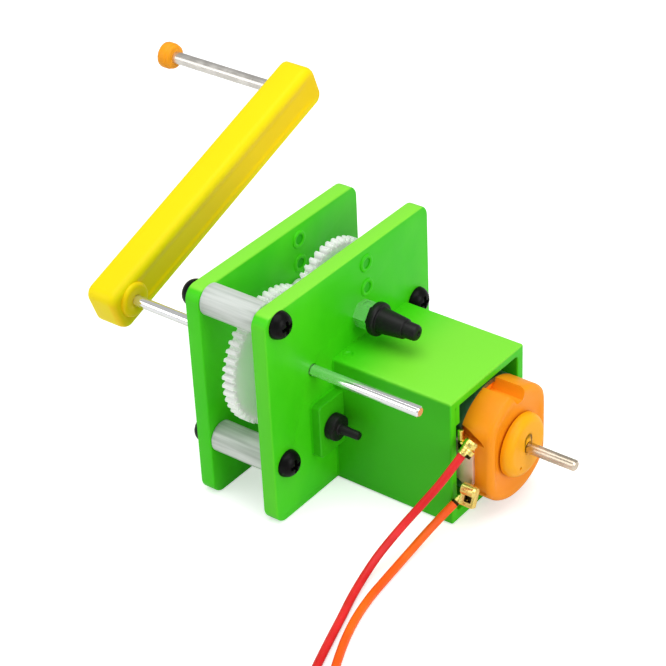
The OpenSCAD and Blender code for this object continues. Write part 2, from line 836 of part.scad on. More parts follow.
// Two arc magnets on the can's round sides
module motor_magnets() {
  spread = motor_flat - can_wall;
  color([0.2, 0.2, 0.2]) for (up = [0, 180]) intersection() {
    difference() {
      motor_section(magnet_x, magnet_x + magnet_len, motor_r - can_wall, spread);
      rod_x(magnet_x - over, magnet_x + magnet_len + over, magnet_in_r, motor_at);
    }
    translate([magnet_x, 0, motor_z]) rotate([up, 0, 0]) translate([0, -magnet_half_y, 0])
      cube([magnet_len, 2 * magnet_half_y, motor_r]);
  }
}

// Leaf brushes that reach from the end cap's wall to the commutator
module motor_brushes() {
  x = commutator_x + (commutator_len - brush_w) / 2;
  color([0.8, 0.55, 0.25]) for (side = [0, 180]) intersection() {
    rod_x(x, x + brush_w, endcap_bore_r, motor_at);
    translate([x, 0, motor_z]) rotate([side, 0, 0]) translate([0, commutator_r + brush_air, -brush_t])
      cube([brush_w, endcap_bore_r, 2 * brush_t]);
  }
}

module motor_shaft() {
  end = housing_len + endcap_len + boss_proud;
  color([0.72, 0.68, 0.62])
    necked_shaft(third_back_x - shaft_chamfer - pinion_over, end + motor_free, shaft_r, end + neck_out, motor_at);
}

// Core of the rotor, with three poles that carry the windings
module rotor_core() {
  color([0.6, 0.6, 0.62]) difference() {
    union() {
      rod_x(core_x, core_x + core_len, core_hub_r, motor_at);
      for (k = [0:pole_count - 1]) along_x(core_x, motor_at) rotate([0, 0, k * 360 / pole_count]) {
        translate([0, -pole_w / 2, 0]) cube([core_r - shoe_t / 2, pole_w, core_len]);
        intersection() {
          difference() {
            cylinder(h = core_len, r = core_r);
            translate([0, 0, -over]) cylinder(h = core_len + 2 * over, r = core_r - shoe_t);
          }
          linear_extrude(core_len) polygon([
            [0, 0], 2 * core_r * [cos(shoe_half_angle), -sin(shoe_half_angle)], [2 * core_r, 0],
            2 * core_r * [cos(shoe_half_angle), sin(shoe_half_angle)]
          ]);
        }
      }
    }
    rod_x(core_x - over, core_x + core_len + over, shaft_r, motor_at);
  }
}

module rotor_windings() {
  long = core_len + 2 * winding_over;
  low = core_hub_r + winding_air;
  high = core_r - shoe_t - winding_air;
  side = pole_w / 2 + winding_w;
  color([0.72, 0.4, 0.15]) for (k = [0:pole_count - 1])
    along_x(core_x - winding_over, motor_at) rotate([0, 0, k * 360 / pole_count]) difference() {
      intersection() {
        translate([low, -side, 0]) cube([high - low, 2 * side, long]);
        cylinder(h = long, r = high);
      }
      translate([0, -pole_w / 2, winding_over]) cube([core_r, pole_w, core_len]);
      for (side = [0, 1]) mirror([0, side, 0]) rotate([0, 0, 180 / pole_count])
        translate([0, -winding_air / 2, -over]) cube([core_r, core_r, long + 2 * over]);
    }
}

module commutator() {
  color([0.75, 0.45, 0.2]) difference() {
    rod_x(commutator_x, commutator_x + commutator_len, commutator_r, motor_at);
    rod_x(commutator_x - over, commutator_x + commutator_len + over, shaft_r, motor_at);
    for (k = [0:pole_count - 1]) along_x(commutator_x + commutator_slot, motor_at)
      rotate([0, 0, (k + 1 / 2) * 360 / pole_count])
        translate([commutator_r - commutator_slot, -commutator_slot / 2, 0])
          cube([commutator_r, commutator_slot, commutator_len]);
  }
}

module motor_pinion() {
  color([0.95, 0.96, 0.93]) difference() {
    toothed_wheel(
      third_back_x - pinion_over, third_front_x + pinion_over, pinion_teeth, pinion_add_share, pinion_ded_share,
      motor_phase, motor_at
    );
    rod_x(third_back_x - over, third_front_x + over, shaft_r, motor_at);
  }
}

module contact_strip() {
  x0 = housing_len - strip_inside;
  x1 = housing_len + strip_outside;
  color([0.68, 0.64, 0.56]) translate([0, -motor_flat, 0]) rotate([90, 0, 0]) linear_extrude(strip_t) polygon([
    [x0, strip_low + strip_cut], [housing_len, strip_low + strip_cut], [housing_len + strip_cut, strip_low],
    [x1, strip_low], [x1, strip_top], [x0, strip_top]
  ]);
}

// Brass tab with the crimp that holds the red wire
module upper_terminal() {
  start = red_route[0];
  back = -unit(red_route[1] - red_route[0]);
  color([0.85, 0.72, 0.35]) {
    translate([housing_len, strip_near_y - tab_t, tab_low]) cube([tab_w, tab_t, tab_top - tab_low]);
    translate(start) rotate([0, acos(back[2]), atan2(back[1], back[0])]) cylinder(h = crimp_len, r = crimp_r);
    translate([housing_len + tab_w / 2, strip_near_y - fold_deep, tab_low + fold_up])
      cube([2 * crimp_r, fold_deep, fold_t]);
  }
}

// Folded brass lug with a square hole, which holds the orange wire
module lower_terminal() {
  start = orange_route[0];
  back = -unit(orange_route[1] - orange_route[0]);
  color([0.9, 0.78, 0.35]) {
    translate([housing_len + lug_in, strip_near_y - lug_t, lug_low]) rotate([0, lug_tilt, 0]) difference() {
      cube([lug_w, lug_t, lug_h]);
      translate([(lug_w - lug_hole_w) / 2, -over, (lug_h - lug_hole_h) / 2]) cube([lug_hole_w, lug_t, lug_hole_h]);
    }
    translate(start) rotate([0, acos(back[2]), atan2(back[1], back[0])])
      cylinder(h = lug_collar_len, r = wire_r + tab_t / 3);
  }
}

// Tube swept along a line, with rings square to it
module swept_tube(p, r, sides, up) {
  n = len(p);
  rings = [for (i = [0:n - 1])
    let(
      t = unit(p[min(i + 1, n - 1)] - p[max(i - 1, 0)]),
      across = unit(cross(t, up)),
      over_it = cross(t, across)
    )
    for (k = [0:sides - 1])
      let(a = (k + 1 / 2) * 360 / sides)
      p[i] + r * (across * cos(a) + over_it * sin(a))
  ];
  walls = [for (i = [0:n - 2]) for (k = [0:sides - 1])
    let(a = i * sides + k, b = i * sides + (k + 1) % sides)
    each [[a, a + sides, b], [b, a + sides, b + sides]]
  ];
  last = (n - 1) * sides;
  caps = [for (k = [1:sides - 2]) each [[0, k, k + 1], [last, last + k + 1, last + k]]];
  polyhedron(rings, concat(walls, caps));
}

module wire_end(line) {
  n = len(line);
  out = unit(line[n - 1] - line[n - 2]);
  translate(line[n - 1]) rotate([0, 0, atan2(out[1], out[0])]) rotate([0, 90, 0]) rotate_extrude() polygon(concat(
    [[0, 0], [wire_r, 0], [wire_r, pin_sleeve_len / 3], [wire_r - pin_r / 3, pin_sleeve_len / 2]],
    [[wire_r - pin_r / 3, pin_sleeve_len], [pin_r, pin_sleeve_len]],
    [[pin_r, pin_len - pin_r], [pin_r / 2, pin_len], [0, pin_len]]
  ));
}

module red_wire() {
  color([0.88, 0.2, 0.2]) swept_tube(red_route, wire_r, wire_sides, [1, 0, 0]);
}

module red_coil() {
  color([0.88, 0.2, 0.2]) swept_tube(red_coil_line, wire_r, coil_sides, [0, 0, 1]);
}

module red_pin() {
  color([0.8, 0.8, 0.82]) wire_end(red_coil_line);
}

module orange_wire() {
  color([0.96, 0.4, 0.08]) swept_tube(orange_route, wire_r, wire_sides, [1, 0, 0]);
}

module orange_coil() {
  color([0.96, 0.4, 0.08]) swept_tube(orange_coil_line, wire_r, coil_sides, [0, 0, 1]);
}

module orange_pin() {
  color([0.8, 0.8, 0.82]) wire_end(orange_coil_line);
}

front_plate();
back_plate();
spacers();
front_screws();
back_screws();
locating_post();
crank_shaft();
crank_arm();
handle_rod();
handle_cap();
crank_gear();
second_gear();
second_axle();
hex_bush();
axle_nose();
third_gear();
third_axle();
motor_can();
motor_endcap();
motor_boss();
motor_bearings();
motor_magnets();
motor_brushes();
motor_shaft();
rotor_core();
rotor_windings();
commutator();
motor_pinion();
contact_strip();
upper_terminal();
lower_terminal();
red_wire();
red_coil();
red_pin();
orange_wire();
orange_coil();
orange_pin();
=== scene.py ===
# %% [markdown]
# # A hand crank generator
#
# The object is a classroom generator. A yellow arm turns a steel shaft, three pairs of white gears
# speed that turning up about seventy times, and a small motor at the end of the train makes the
# current that leaves through two thin wires. An engineer's model gives every solid and its place.
# This script gives them their soft moulded edges, their small forms and their surfaces.
# %% Load the engineer's solids
import math

import bmesh
import bpy
from mathutils import Matrix, Vector


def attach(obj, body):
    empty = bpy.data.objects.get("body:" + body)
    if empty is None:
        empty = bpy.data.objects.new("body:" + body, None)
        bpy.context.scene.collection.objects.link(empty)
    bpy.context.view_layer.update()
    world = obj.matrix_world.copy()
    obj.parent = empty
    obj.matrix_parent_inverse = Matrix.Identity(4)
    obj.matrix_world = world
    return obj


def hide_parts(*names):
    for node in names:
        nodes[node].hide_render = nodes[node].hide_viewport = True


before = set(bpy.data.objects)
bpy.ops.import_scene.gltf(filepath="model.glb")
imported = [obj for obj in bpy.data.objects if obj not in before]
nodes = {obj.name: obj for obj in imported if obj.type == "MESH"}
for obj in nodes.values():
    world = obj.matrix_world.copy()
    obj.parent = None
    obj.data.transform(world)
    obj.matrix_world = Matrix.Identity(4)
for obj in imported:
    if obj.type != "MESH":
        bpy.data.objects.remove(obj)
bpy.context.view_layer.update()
MM = 0.001


def added(name, data):
    """A new object in the scene."""
    made = bpy.data.objects.new(name, data)
    bpy.context.scene.collection.objects.link(made)
    return made


print("Solids loaded:", len(nodes))

# %% [markdown]
# ## The camera
#
# A camera is three directions and a place. The product was photographed from the front right and
# from well above, with a long lens, so its parallel edges stay nearly parallel. The directions are
# written out from the angles, which keeps the slight roll of the photograph.
# %% Place the camera
azimuth, elevation, roll = (math.radians(angle) for angle in (38.65, 33.34, -2.82))
toward_camera = Vector((
    math.sin(azimuth) * math.cos(elevation), -math.cos(azimuth) * math.cos(elevation), math.sin(elevation),
))
level = Vector((math.cos(azimuth), math.sin(azimuth), 0))
upward = toward_camera.cross(level)
right = level * math.cos(roll) + upward * math.sin(roll)
above = upward * math.cos(roll) - level * math.sin(roll)
camera = added("camera", bpy.data.cameras.new("camera"))
bpy.context.scene.camera = camera
facing = Matrix((right, above, toward_camera)).transposed().to_4x4()
camera.matrix_world = Matrix.Translation((0.1970, -0.25707, 0.2370)) @ facing
camera.data.lens = 120.3
camera.data.sensor_width = 36
camera.data.shift_x, camera.data.shift_y = -0.00105, 0.00375
camera.data.clip_start = 0.01
print("Camera lens in mm:", camera.data.lens)

# %% [markdown]
# ## Writing shader maths as sums
#
# A surface is a small machine of nodes. Wiring each Math node by hand hides the idea, so one class
# wraps a socket and lets Python's own signs add the nodes: `1 - mask * 0.4` makes two Math nodes.
# Every other node comes from one method, which takes its type, its settings and its sockets.
# %% A class for numbers and one for surfaces
class Number:
    """A number that a node gives. Sums and products of it add Math nodes."""

    def __init__(self, surface, socket):
        self.surface, self.socket = surface, socket

    def joined(self, operation, first, second):
        return self.surface.node("ShaderNodeMath", {"operation": operation}, {0: first, 1: second})["Value"]

    def __add__(self, other):
        return self.joined("ADD", self, other)

    def __sub__(self, other):
        return self.joined("SUBTRACT", self, other)

    def __rsub__(self, other):
        return self.joined("SUBTRACT", other, self)

    def __mul__(self, other):
        return self.joined("MULTIPLY", self, other)

    __radd__, __rmul__ = __add__, __mul__


class Surface:
    """A material that is built node by node."""

    def __init__(self, name):
        self.material = bpy.data.materials.new(name)
        self.material.use_nodes = True
        self.tree = self.material.node_tree
        self.tree.nodes.clear()

    def node(self, kind, settings=None, sockets=None):
        made = self.tree.nodes.new(kind)
        for name, value in (settings or {}).items():
            setattr(made, name, value)
        for name, value in (sockets or {}).items():
            if isinstance(name, int):
                socket = made.inputs[name]
            else:
                socket = next(s for s in made.inputs if s.name == name and s.enabled)
            if isinstance(value, Number):
                self.tree.links.new(value.socket, socket)
            else:
                socket.default_value = value
        return {out.name: Number(self, out) for out in made.outputs if out.enabled}

    def place(self, stretch=(1, 1, 1)):
        """Object coordinates in metres, stretched along the axes."""
        coordinates = self.node("ShaderNodeTexCoord")["Object"]
        return self.node("ShaderNodeMapping", {}, {"Vector": coordinates, "Scale": stretch})["Vector"]

    def axes(self):
        """Object coordinates one by one, as X, Y and Z."""
        return self.node("ShaderNodeSeparateXYZ", {}, {"Vector": self.place()})

    def noise(self, size_mm, detail, stretch=(1, 1, 1), roughness=0.5):
        """Noise from 0 to 1 whose lumps are about size_mm across."""
        sockets = {
            "Vector": self.place(stretch), "Scale": 1 / (size_mm * MM), "Detail": detail,
            "Roughness": roughness,
        }
        return self.node("ShaderNodeTexNoise", {"noise_dimensions": "3D"}, sockets)["Fac"]

    def distance(self, centre, stretch=(1, 1, 1)):
        """Metres to a centre that is given in millimetres. A stretch of 0 leaves an axis out."""
        sockets = {0: self.place(stretch), 1: Vector(centre) * MM}
        return self.node("ShaderNodeVectorMath", {"operation": "DISTANCE"}, sockets)["Value"]

    def between(self, first, second, amount):
        """A colour between two, which are written out or come from nodes, by a number from 0 to 1."""
        colours = {
            name: value if isinstance(value, Number) else (*value, 1)
            for name, value in (("A", first), ("B", second))
        }
        return self.node("ShaderNodeMix", {"data_type": "RGBA"}, {"Factor": amount, **colours})["Result"]

    def ramp(self, amount, low, high):
        """0 below low, 1 above high, and a smooth rise between them."""
        settings = {"interpolation_type": "SMOOTHSTEP"}
        sockets = {"Value": amount, "From Min": low, "From Max": high}
        return self.node("ShaderNodeMapRange", settings, sockets)["Result"]

    def rise(self, length, low_mm, high_mm):
        """The same rise for a length, between two places in millimetres."""
        return self.ramp(length, low_mm * MM, high_mm * MM)

    def bump(self, height, depth_mm):
        """Small relief that is depth_mm deep."""
        sockets = {"Height": height, "Distance": depth_mm * MM, "Strength": 1}
        return self.node("ShaderNodeBump", {}, sockets)["Normal"]

    def finish(self, **sockets):
        """Ends the surface in a Principled shader. Underscores stand for spaces in socket names."""
        named = {name.replace("_", " "): value for name, value in sockets.items()}
        shader = self.node("ShaderNodeBsdfPrincipled", {}, named)["BSDF"]
        self.node("ShaderNodeOutputMaterial", {}, {"Surface": shader})
        return self.material


print("Shader helpers are ready")

# %% [markdown]
# ## Moulded plastic
#
# The plates, the arm, the cap and the motor's end are injection moulded. Such plastic isn't one flat
# colour: the pigment flows in faint streaks, the tool's polish leaves a very fine grain, and
# handling dulls some areas more than others. Three noises at three sizes give those three things.
# %% Moulded plastic in any colour
PLATE_TOP, FRONT_NEAR = 42, -28.6
HOUSING_LOW, HOUSING_HIGH = (-11.6, 0), (10.5, 25.2)
BACK_OUTER, BACK_INNER, FRONT_INNER, FRONT_OUTER = -17.5, -14.5, -3, 0
RINGS = [(-1, 38.9), (-1, 34.1)]


def painted_plate_light_and_shade(surface, colour, painted_light):
    """Painted light and painted shade on the green moulding, by place.

    Its upper faces, the housing's roof and its near edges take a paler colour, a painted light where light
    falls on them. The housing's near side and the floors of the moulded rings take a darker colour, a
    painted shade where little light reaches them.
    """
    place = surface.axes()
    # Painted light: the plate tops, the housing's roof and the near edges take the pale colour.
    top = surface.rise(place["Z"], PLATE_TOP - 0.6, PLATE_TOP - 0.1)
    roof_at, side_at = HOUSING_HIGH[1], HOUSING_LOW[0]
    roof = surface.rise(place["Z"], roof_at - 0.7, roof_at - 0.2) * surface.rise(place["X"], -2, 15)
    low = surface.rise(place["Z"], roof_at + 0.8, roof_at + 0.2)
    near = surface.rise(place["Y"], FRONT_NEAR + 0.5, FRONT_NEAR + 0.1)
    colour = surface.between(colour, painted_light, surface.ramp(top + roof * low * 0.8 + near * 0.3, 0, 1))
    # Painted shade: the housing's near side is darkened.
    side = surface.rise(place["Y"], side_at + 0.3, side_at) * surface.rise(place["X"], 0.3, 0.6)
    colour = surface.between(colour, (0.033, 0.42, 0.003), side * low * 0.7)
    # Painted shade: the floors of the moulded rings on both plates are darkened.
    inner = surface.rise(place["X"], BACK_INNER - 0.4, BACK_INNER - 0.2) * surface.rise(place["X"], -4, -5)
    faces = inner + surface.rise(place["X"], FRONT_OUTER - 0.4, FRONT_OUTER - 0.2)
    for ring in RINGS:
        floor = surface.rise(surface.distance((0, *ring), (0, 1, 1)), 1.05, 0.85) * faces
        colour = surface.between(colour, (0.02, 0.48, 0.001), floor)
    return colour


def moulded(name, deep, lit, gloss, glow=0.0, painted_light=None):
    """Dyed plastic: deep and lit are its two shades, gloss its roughness, glow the light it lets through.

    The pale colour is a painted light for the green moulding's upper faces. Giving it asks for the painted
    light and shade by place.
    """
    surface = Surface(name)
    streaks = surface.noise(14, 4, (1, 1, 0.5))
    handling = surface.noise(5, 5)
    grain = surface.noise(0.16, 2)
    waves = surface.noise(9, 1)
    colour = surface.between(deep, lit, surface.ramp(streaks, 0.3, 0.7))
    if painted_light:
        colour = painted_plate_light_and_shade(surface, colour, painted_light)
    return surface.finish(
        Base_Color=colour,
        Roughness=gloss + surface.ramp(handling, 0.45, 0.75) * 0.1 + grain * 0.05,
        Normal=surface.bump(waves * 8 + grain, 0.006),
        Specular_IOR_Level=0.2,
        Subsurface_Weight=glow,
        Subsurface_Radius=(0.6, 1.0, 0.4),
        Subsurface_Scale=0.001,
    )


# The green takes painted light on its upper faces and painted shade by place.
green = moulded("green_plastic", (0.042, 0.60, 0.003), (0.068, 0.68, 0.007), 0.34, painted_light=(0.24, 0.80, 0.045))
orange = moulded("orange_plastic", (0.93, 0.27, 0.004), (0.98, 0.33, 0.008), 0.36, 0.05)
peach = moulded("cap_plastic", (0.96, 0.34, 0.008), (1.0, 0.42, 0.014), 0.36, 0.05)
amber = moulded("amber_plastic", (0.93, 0.36, 0.001), (1.0, 0.45, 0.003), 0.34, 0.05)
print("Plastics:", green.name, orange.name, peach.name, amber.name)

# %% [markdown]
# The yellow arm is dyed plastic too. Its front face gets a painted shade, a golden colour beside the lemon
# top, with a paler painted light along its lower rim. A mask has to find that face: it lies near the front,
# and under the soft upper edge. The height over the arm's centre line comes from the height and the depth,
# turned by the arm's angle at rest, and the mask stays on the arm whichever way the crank has turned.
# %% Yellow plastic with painted shade on its front
CRANK_AT, ARM_ANGLE = (-16.8, 25.9), math.radians(19.5)
ARM_FACE, ARM_HALF = -40.2, 4.3


def yellow_plastic():
    surface = Surface("yellow_plastic")
    place = surface.axes()
    over, beside = place["Z"] - CRANK_AT[1] * MM, place["Y"] - CRANK_AT[0] * MM
    across = over * math.cos(ARM_ANGLE) - beside * math.sin(ARM_ANGLE)
    front = surface.rise(place["X"], ARM_FACE - 1.9, ARM_FACE - 0.6)
    top = surface.rise(across, ARM_HALF - 2.1, ARM_HALF - 0.6)
    low = surface.rise(across, 1.6 - ARM_HALF, 0.7 - ARM_HALF)
    streaks = surface.noise(16, 3)
    # Painted shade: the golden front is darker than the lemon top, and its lower rim is painted lighter.
    painted_shade_gold = surface.between((1.0, 0.64, 0.001), (1.0, 0.69, 0.002), streaks)
    lemon = surface.between((0.96, 0.75, 0.002), (1.0, 0.80, 0.004), streaks)
    face = surface.between(painted_shade_gold, (1.0, 0.78, 0.002), low)
    return surface.finish(
        Base_Color=surface.between(lemon, face, front * (1 - top)),
        Roughness=0.36 + surface.noise(6, 4) * 0.1,
        Normal=surface.bump(surface.noise(11, 1) * 8 + surface.noise(0.18, 2), 0.006),
        Specular_IOR_Level=0.12,
        Subsurface_Weight=0.05,
        Subsurface_Radius=(1.0, 0.9, 0.2),
        Subsurface_Scale=0.001,
    )


yellow = yellow_plastic()
print("Plastic with a mask:", yellow.name)

# %% [markdown]
# ## Nylon, black parts and wire
#
# Gears and spacers are undyed nylon, which is milky and lets a little light through. The screws are
# steel with a black oxide that wears pale where a driver has turned in it. The wires wear soft
# plastic, with the faint lengthwise waves that its extrusion leaves.
# %% Nylon, black parts and wire insulation
def nylon(name, deep, lit, cloud_mm, stretch, glow, painted_glow):
    """Undyed nylon: cloud_mm and stretch shape its cloudy streaks, glow is the light it lets through.

    The last argument is a painted glow: a faint emission that brightens a thin gear beyond what its
    scattering gives.
    """
    surface = Surface(name)
    cloud = surface.noise(cloud_mm, 4, stretch)
    return surface.finish(
        Base_Color=surface.between(deep, lit, surface.ramp(cloud, 0.3, 0.7)),
        Roughness=0.3 + surface.noise(1.5, 3) * 0.16,
        Normal=surface.bump(surface.noise(0.35, 2) + cloud * 4, 0.008),
        Subsurface_Weight=glow,
        Subsurface_Radius=(1.0, 1.05, 0.95),
        Subsurface_Scale=0.009,
        # Painted light: this emission makes a thin gear glow faintly.
        Emission_Color=(0.96, 1.0, 0.92, 1),
        Emission_Strength=painted_glow,
        IOR=1.53,
    )


def black(name, shade, gloss, shine, wear):
    surface = Surface(name)
    speckle = surface.ramp(surface.noise(0.5, 5, roughness=0.7), 0.62, 0.74)
    return surface.finish(
        Base_Color=surface.between((shade,) * 3, (shade + wear,) * 3, speckle),
        Roughness=gloss + surface.noise(1.1, 3) * 0.2,
        Normal=surface.bump(surface.noise(0.3, 3), 0.004),
        Specular_IOR_Level=shine,
    )


def insulation(name, deep, lit):
    surface = Surface(name)
    waves = surface.noise(1.4, 3)
    return surface.finish(
        Base_Color=surface.between(deep, lit, surface.ramp(surface.noise(7, 3), 0.3, 0.7)),
        Roughness=0.36 + waves * 0.14,
        Normal=surface.bump(waves * 3 + surface.noise(0.2, 2), 0.012),
        Specular_IOR_Level=0.3,
    )


# The gears' nylon gets a faint painted glow. The spacers' nylon gets none.
white = nylon("white_nylon", (0.93, 0.97, 0.93), (0.99, 1.0, 0.98), 4, (0.4, 1, 1), 0.9, 0.08)
cloudy = nylon("cloudy_nylon", (0.36, 0.43, 0.36), (0.68, 0.73, 0.68), 1.3, (0.06, 1, 1), 0.3, 0.0)
black_steel = black("black_steel", 0.004, 0.22, 0.1, 0.012)
black_plastic = black("black_plastic", 0.006, 0.34, 0.25, 0.006)
red = insulation("red_insulation", (0.68, 0.012, 0.014), (0.82, 0.022, 0.026))
tangerine = insulation("orange_insulation", (0.92, 0.10, 0.002), (1.0, 0.15, 0.004))
print("Nylon, black parts and insulation are ready")

# %% [markdown]
# ## Metals
#
# Drawn rods carry fine scratches along their length, so their noise is stretched along the shaft.
# Stamped sheet and brass carry dull patches, and the motor's can has the grey bloom of plating.
# Metal shows mostly what it reflects, so small changes of roughness do more than its colour.
# %% Rods, sheets and brass
def metal(
    name, deep, lit, gloss, patch_mm, stretch=(1, 1, 1), scratch=0.004, spread=0.12, painted_shade_at=(), share=1.0
):
    """A metal surface. A painted shade darkens it round each listed place in millimetres, as shade in a
    recess would.

    A share below 1 stands for the thin haze on polished rod, which scatters some of the light.
    """
    surface = Surface(name)
    lines = surface.noise(0.22, 3, stretch)
    patches = surface.ramp(surface.noise(patch_mm, 4), 0.35, 0.7)
    colour = surface.between(deep, lit, patches)
    # Painted shade: the colour goes nearly black towards each listed place.
    for centre in painted_shade_at:
        away = surface.rise(surface.distance(centre), 0.8, 0.95)
        colour = surface.between((0.03, 0.022, 0.006), colour, away)
    return surface.finish(
        Base_Color=colour,
        Metallic=share,
        Roughness=gloss + patches * spread + lines * 0.08,
        Normal=surface.bump(lines, scratch),
    )


ALONG = (0.03, 1, 1)
polished = metal(
    "polished_steel", (0.90, 0.90, 0.91), (0.95, 0.95, 0.96), 0.06, 4, ALONG, 0.0014, 0.05, share=0.88
)
drawn = metal("drawn_steel", (0.72, 0.69, 0.64), (0.86, 0.83, 0.78), 0.24, 3, ALONG, 0.004)
# Painted reflection: the motor shaft's steel is tinted warm for the orange end that it mirrors.
orange_reflection_steel = metal("steel_with_painted_reflection", (0.62, 0.53, 0.41), (0.82, 0.72, 0.58), 0.20, 3, ALONG, 0.004)
plated = metal("plated_sheet", (0.16, 0.30, 0.27), (0.26, 0.42, 0.38), 0.34, 4)
dull = metal("dull_sheet", (0.74, 0.60, 0.48), (0.86, 0.72, 0.59), 0.52, 2.5, (1, 1, 0.05), 0.005)
copper = metal("copper_wire", (0.55, 0.20, 0.07), (0.72, 0.30, 0.12), 0.22, 1.5)
bronze = metal("sintered_bronze", (0.35, 0.20, 0.08), (0.48, 0.30, 0.14), 0.38, 0.5, scratch=0.01)
sheets = metal("stacked_sheets", (0.34, 0.34, 0.35), (0.46, 0.46, 0.47), 0.35, 2, (2.5, 0.02, 0.02), 0.02)
tin = metal("tinned_wire", (0.66, 0.66, 0.68), (0.80, 0.80, 0.82), 0.18, 1)
ferrite = black("ferrite", 0.035, 0.5, 0.3, 0.02)
print("Metals are ready")

# %% [markdown]
# ## The two wires
#
# Both wires are thin and limp. Each leaves its crimp, falls to the table, runs out of the picture,
# and keeps the rest of its length in a flat coil beside the view, as a lead lies before it is used.
# A curve is the natural form for a wire: one open line, with half the wire's thickness as its bevel.
# The line is made smooth through listed points, so that it lies as the photograph shows it.
# %% Smooth lines and coils
WIRE = 1.5
STRIP_FOOT = Vector((24.5, -9.4, 0))
RED_PATH = [
    (2.5, -2.4, 16.2), (0.7, -6, 12), (-1.1, -9.1, 8.6), (-2.5, -12.1, 6), (-3.4, -15.8, 3.8),
    (-3.7, -19, 2.4), (-3.4, -23, 1.2), (-2.3, -27.7, 0.8), (-0.7, -32.6, 0.75), (0.9, -37.6, 0.75),
    (2.7, -43, 0.75), (4.7, -48.6, 0.75), (6.7, -54.1, 0.75), (8.1, -57.9, 0.75),
]
ORANGE_PATH = [
    (0.8, -2.6, 5.3), (-0.1, -5.4, 3.7), (-0.7, -8.5, 2.4), (-0.9, -12, 1.5), (-0.8, -16.2, 0.95),
    (-0.4, -21.1, 0.75), (0.2, -26, 0.75), (1.3, -31.2, 0.75), (2.9, -36.2, 0.75), (4.9, -41, 0.75),
    (7.4, -46.2, 0.75), (10.5, -52.2, 0.75),
]


def smooth(points, steps=6):
    """A smooth line through points, steps places for each stretch."""
    ends = [points[0] * 2 - points[1], *points, points[-1] * 2 - points[-2]]
    line = []
    for a, b, c, d in zip(ends, ends[1:], ends[2:], ends[3:]):
        bend, twist = a * 2 - b * 5 + c * 4 - d, b * 3 - a - c * 3 + d
        for k in range(steps):
            t = k / steps
            line.append(b + (c - a) * (t / 2) + bend * (t * t / 2) + twist * (t**3 / 2))
    return [*line, points[-1]]


def coiled(route, side, radius=10, pitch=2.2, turns=1.625, rings=24, tail=3.5, sweep=100):
    """The flat coil that carries a route on, and its short tail."""
    ahead = (route[-1] - route[-2]).normalized()
    inward = Vector((-ahead.y, ahead.x, 0)) * side
    centre = route[-1] + ahead * WIRE + inward * radius
    first = math.atan2(-inward.y, -inward.x)
    count = round(turns * rings)

    def arm(angle):
        return Vector((math.cos(angle), math.sin(angle), 0))

    line = []
    for k in range(2 * count + 1):
        gone = k / 2 / rings
        line.append(centre + arm(first + side * math.tau * gone) * (radius - pitch * gone))
    angle = first + side * math.tau * count / rings
    onward = Vector((-math.sin(angle), math.cos(angle), 0)) * side
    inside = -arm(angle)
    end = line[-1]
    for k in range(1, 11):
        bend = math.radians(sweep * k / 10)
        line.append(end + (inside * (1 - math.cos(bend)) + onward * math.sin(bend)) * tail)
    line.append(line[-1] + (onward * math.cos(bend) + inside * math.sin(bend)) * WIRE)
    return line


print("Points in the red route:", len(RED_PATH), "and in the orange one:", len(ORANGE_PATH))


# %% Lay both wires
def add_line(curve, places, loop=False):
    """Adds a line through places to a curve, as a closed loop if asked."""
    spline = curve.splines.new("POLY")
    spline.points.add(len(places) - 1)
    spline.use_cyclic_u = loop
    for point, place in zip(spline.points, places):
        point.co = (*place, 1)


def lay_wire(name, path, side, surface, stands_for):
    route = [STRIP_FOOT + Vector(point) for point in path]
    line = smooth(route) + coiled(route, side)
    curve = bpy.data.curves.new(name, "CURVE")
    curve.dimensions = "3D"
    curve.bevel_depth = WIRE / 2 * MM
    curve.bevel_resolution = 4
    curve.use_fill_caps = True
    add_line(curve, [place * MM for place in line])
    curve.materials.append(surface)
    wire = added(name, curve)
    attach(wire, "frame")
    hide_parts(*stands_for)
    length = sum((b - a).length for a, b in zip(line, line[1:])) * MM
    print(name, "is", round(length / MM), "mm long")


for colour, path, side, surface in (("red", RED_PATH, -1, red), ("orange", ORANGE_PATH, 1, tangerine)):
    stands_for = (colour + "_wire", colour + "_coil")
    lay_wire(colour + "_lead", path, side, surface, stands_for)

# %% [markdown]
# ## Skins, turned forms and finished pieces
#
# Most moulded forms are a stack of outlines: a slab is one outline pulled along the shaft, and its
# soft edge is the same outline drawn in a little at each step. So one helper joins rings of equally
# many points into a skin, one makes a rounded box outline, and one turns a profile about a shaft.
# All of them work in millimetres, with X along the shafts, as the engineer's model does.
# %% Rings and skins
def box_ring(x, low, high, radius, steps=6):
    """A rounded rectangle across the shafts, from low to high in Y and Z."""
    radius = max(radius, 0.02)
    corners = (
        (high[0] - radius, high[1] - radius), (low[0] + radius, high[1] - radius),
        (low[0] + radius, low[1] + radius), (high[0] - radius, low[1] + radius),
    )
    ring = []
    for corner, (y, z) in enumerate(corners):
        for k in range(steps + 1):
            angle = math.pi / 2 * (corner + k / steps)
            ring.append(Vector((x, y + radius * math.cos(angle), z + radius * math.sin(angle))))
    return ring


def drawn_in(x, low, high, radius, inset):
    return box_ring(x, (low[0] + inset, low[1] + inset), (high[0] - inset, high[1] - inset), radius - inset)


def skin(bm, rings, start_cap=True, end_cap=True):
    """Joins rings of equally many points, and closes the ends if asked."""
    rows = [[bm.verts.new(point) for point in ring] for ring in rings]
    for a, b in zip(rows, rows[1:]):
        for i in range(len(a)):
            j = (i + 1) % len(a)
            bm.faces.new((a[i], a[j], b[j], b[i]))
    if start_cap:
        bm.faces.new(rows[0][::-1])
    if end_cap:
        bm.faces.new(rows[-1])


def quarter(steps):
    """Places on a quarter circle, as shares: how far each lies forward, and how far below the top."""
    angles = [math.pi / 2 * k / steps for k in range(steps + 1)]
    return [(1 - math.cos(angle), 1 - math.sin(angle)) for angle in angles]


